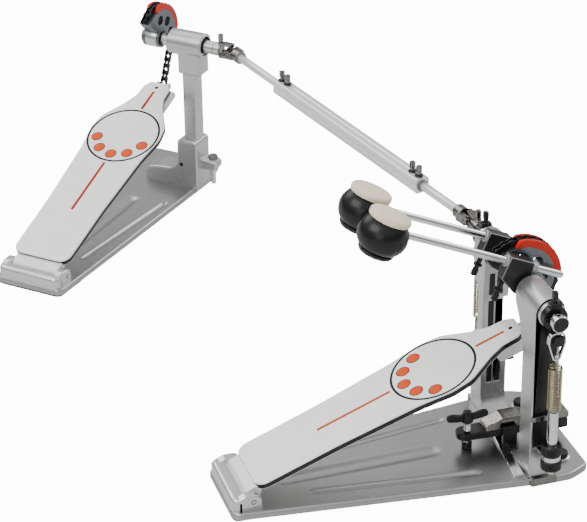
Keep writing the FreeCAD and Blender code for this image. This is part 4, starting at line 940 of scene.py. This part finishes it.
# hoop clamp, rail and spurs
clamp = {"across": 6.0, "screwAhead": -54.0, "low": 24.0, "top": 31.6, "pitch": 1.2,
         "leverHalves": [(9, -66), (11, -34), (12, -6), (16, 50)],
         "saddle": [(-38, 31), (26, 31), (26, 36), (2, 44), (-18, 44), (-36, 36)],
         "wing": [(14, 43.8), (22.5, 45.6), (23, 52.4), (15, 52.8), (6, 50.4)],
         "wingDip": 42.6, "wingPeak": 53.6}
across = clamp["across"]
halves = np.array(clamp["leverHalves"], float)
lever = np.concatenate([halves, halves[::-1] * (-1, 1)]) + (across, 0)
lever = rounded(lever, [8.8, 20, 20, 5, 5, 20, 20, 8.8], 8)
arm = plate(lever, softEdges(clamp["low"], clamp["top"], 1.4))
wedge = rounded(clamp["saddle"], [1.8, 1.8, 2, 4, 4, 3])
saddle = plate(wedge, softEdges(across - 8.5, across + 10.5, 1.2), across="x")
piece("clampLever", [arm], blackOxide, "hoop_clamp", ("hoop_clamp_lever",))
piece("clampSaddle", [saddle], nickelPlate, "hoop_clamp")
softened("hoop_jaw_pad", 0.8, mouldedRubber)
softened("hoop_clamp_bracket", 0.8, blackOxide)
softened("hoop_screw_foot", 0.6, blackOxide)
screwAt = at(across, clamp["screwAhead"])
# thread: a round whose radius swells and shrinks once a pitch, 3.3 + 0.28 cos(2 pi h / pitch)
h = np.linspace(0, 27 * clamp["pitch"], 27 * 4 + 1)
thread = np.stack([3.3 + 0.28 * np.cos(h / clamp["pitch"] * 2 * pi), h + 12.6], 1)
shank = [turned(np.concatenate([[(2.2, 12.4)], thread]), screwAt, steps=28)]
right = np.array(clamp["wing"])
wing = np.concatenate([[(0, clamp["wingDip"])], right, [(0, clamp["wingPeak"])], right[::-1] * (-1, 1)])
wing = rounded(wing, [8, 6, 3, 3.4, 5, 6, 4, 6, 5, 3.4, 3, 6], 6)
grip = [plate(wing, softEdges(-2.4, 2.4, 1.6, 4), screwAt, "x"),
        turned([(5.0, 41.6), (6.1, 42.4), (6.1, 49), (4.6, 53.6), (2, 54.6)], screwAt, steps=32)]
piece("wingScrewShank", shank, chromePlate, "hoop_wing_screw", sharp=60)
piece("wingScrewGrip", grip, blackOxide, "hoop_wing_screw", ("hoop_wing_screw",))

rail = {"from": (-3.0, -15, 0), "to": (74.0, -24, 0), "half": 6, "low": 9.0, "top": 12.8}
a, b = np.array(rail["from"]), np.array(rail["to"])
railFrame = frameAt((a + b) / 2, b - a, np.cross((0, 0, 1), b - a))
long, half = np.linalg.norm(b - a) / 2, rail["half"]
bar = plate(block(-long, long, -half, half, 2.0, 3), softEdges(rail["low"], rail["top"], 1.3, 3), railFrame)
piece("stayRail", [bar], chromePlate, "root")


# foot x and y, tip, top, head radius and thickness
spurs = [((52, 31, 9, 16, 8, 5.4), primaryFrame), ((-52, 31, 9, 16, 8, 5.4), primaryFrame),
         ((76, 0, 14, 54, 6, 5.6), secondaryFrame)]


def spurShapes(x, y, low, high, radius, thick, matrix):
    # a low knurled head on a threaded spur, over a plain washer; the knurl is the nut's rounded square wave
    a = np.linspace(0, 2 * pi, 160, endpoint=False)
    h = np.array([high - thick, high - thick + 0.4, high - thick + 1, high - 1.2, high - 0.3, high, high])
    r = radius - np.array([1.4, 0.4, 0, 0, 0.6, 1.8, 3])
    deep = np.array([0, 0.2, 0.5, 0.5, 0.2, 0, 0])
    wave = 0.5 + 0.5 * np.tanh(2 * np.cos(20 * a))
    grid = r[:, None] - deep[:, None] * wave[None]
    rings = np.stack([grid * np.cos(a), grid * np.sin(a), np.broadcast_to(h[:, None], grid.shape)], -1)
    washer = [(radius + 1.4, -0.9), (radius + 2, -0.5), (radius + 2, 0.2), (radius + 1.4, 0.5),
              (radius - 2, 0.5)]
    foot = at(x, y, 0, matrix)
    return (shell(place(rings, foot)), turned([(2.4, low), (3.2, low + 1.6), (3.2, high - 1)], foot, steps=24),
            turned(washer, at(z=high - thick, matrix=foot)))


heads, shanks = [], []
for sizes, matrix in spurs:
    head, shank, washer = spurShapes(*sizes, matrix)
    heads.append(head)
    shanks += [shank, washer]
piece("spurHeads", heads[:2], blackOxide, "root", ("anchor_spurs",))
piece("farSpurHead", heads[2:], nickelPlate, "root")
piece("spurShanks", shanks, chromePlate, "root")
print("clamp and spurs made")


# floor, light and camera
studio = {"aim": (-0.25, -0.1, 0.1), "world": 0.6, "floor": 320.0, "paper": 0.04,
          "lamps": {"keyBox": ((0.4, -1.6, 2.2), (1.8, 1.4), 36.0),  # place, size and watts
                    "fillBox": ((-2.2, -1.0, 1.8), (1.6, 1.4), 16.0),
                    "rimBox": ((-0.8, 2.0, 1.8), (2.2, 1.0), 20.0),
                    "sideBox": ((2.0, -1.6, 1.1), (1.4, 1.4), 9.0)}}


def lamp(name, spot, size, watts):
    data = bpy.data.lights.new(name, "AREA")
    data.shape, data.size, data.size_y = "RECTANGLE", size[0], size[1]
    data.energy = watts
    thing = bpy.data.objects.new(name, data)
    bpy.context.scene.collection.objects.link(thing)
    thing.location = spot
    thing.rotation_euler = (Vector(studio["aim"]) - Vector(spot)).to_track_quat("-Z", "Y").to_euler()


world = bpy.data.worlds.new("studio")
bpy.context.scene.world = world
world.use_nodes = True
sky = world.node_tree
# brighter overhead than at the horizon
direction = addNode(sky, "TexCoord").outputs["Generated"]
parts = addNode(sky, "SeparateXYZ", links={0: direction})
lift = addNode(sky, "MapRange", {"interpolation_type": "SMOOTHSTEP"},
               {"From Min": 0.0, "From Max": 0.7, "To Min": 0.32, "To Max": 1.6}, {"Value": parts.outputs[2]})
sky.nodes["Background"].inputs["Color"].default_value = (1, 1, 1, 1)
strength = addNode(sky, "Math", {"operation": "MULTIPLY"}, {1: studio["world"]}, {0: lift.outputs[0]})
sky.links.new(strength.outputs[0], sky.nodes["Background"].inputs["Strength"])

floorMesh = bpy.data.meshes.new("studioFloor")
floorMesh.from_pydata([(-9, -9, 0), (9, -9, 0), (9, 9, 0), (-9, 9, 0)], [], [(0, 1, 2, 3)])
floor = bpy.data.objects.new("studioFloor", floorMesh)
bpy.context.scene.collection.objects.link(floor)
paper = bpy.data.materials.new("whitePaper")
paper.use_nodes = True
paperShader = paper.node_tree.nodes["Principled BSDF"]
paperShader.inputs["Base Color"].default_value = linear("#d8d8d8")
paperShader.inputs["Roughness"].default_value = 0.9
paperShader.inputs["Emission Color"].default_value = (studio["paper"],) * 3 + (1,)
# the paper is lit from behind for the eye only, so it doesn't light the object from below
seen = addNode(paper.node_tree, "LightPath").outputs["Is Camera Ray"]
backLight = addNode(paper.node_tree, "Math", {"operation": "MULTIPLY"}, {1: studio["floor"]}, {0: seen})
paper.node_tree.links.new(backLight.outputs[0], paperShader.inputs["Emission Strength"])
floorMesh.materials.append(paper)

for name, (spot, size, watts) in studio["lamps"].items():
    lamp(name, spot, size, watts)

frameWide = 587
view = {"azimuth": 72.32, "down": 28.40, "roll": -0.75, "spot": (1.87115, -0.82885, 1.32905), "lens": 142.03,
        "shift": (-4.47 / frameWide, -7.63 / frameWide), "sensor": 36, "far": 60}
az, el, roll = (radians(view[k]) for k in ("azimuth", "down", "roll"))
forward = np.array([-sin(az) * cos(el), cos(az) * cos(el), -sin(el)])
right = np.array([cos(az), sin(az), 0])
up = np.cross(right, forward)
tiltedRight, tiltedUp = right * cos(roll) + up * sin(roll), up * cos(roll) - right * sin(roll)
camera = bpy.data.cameras.new("camera")
camera.sensor_width, camera.lens, camera.clip_end = view["sensor"], view["lens"], view["far"]
camera.shift_x, camera.shift_y = view["shift"]
cameraObject = bpy.data.objects.new("camera", camera)
bpy.context.scene.collection.objects.link(cameraObject)
pose = np.eye(4)
pose[:3, 0], pose[:3, 1], pose[:3, 2], pose[:3, 3] = tiltedRight, tiltedUp, -forward, view["spot"]
cameraObject.matrix_world = Matrix(pose.tolist())
bpy.context.scene.camera = cameraObject
print("stage ready")

bpy.context.view_layer.update()
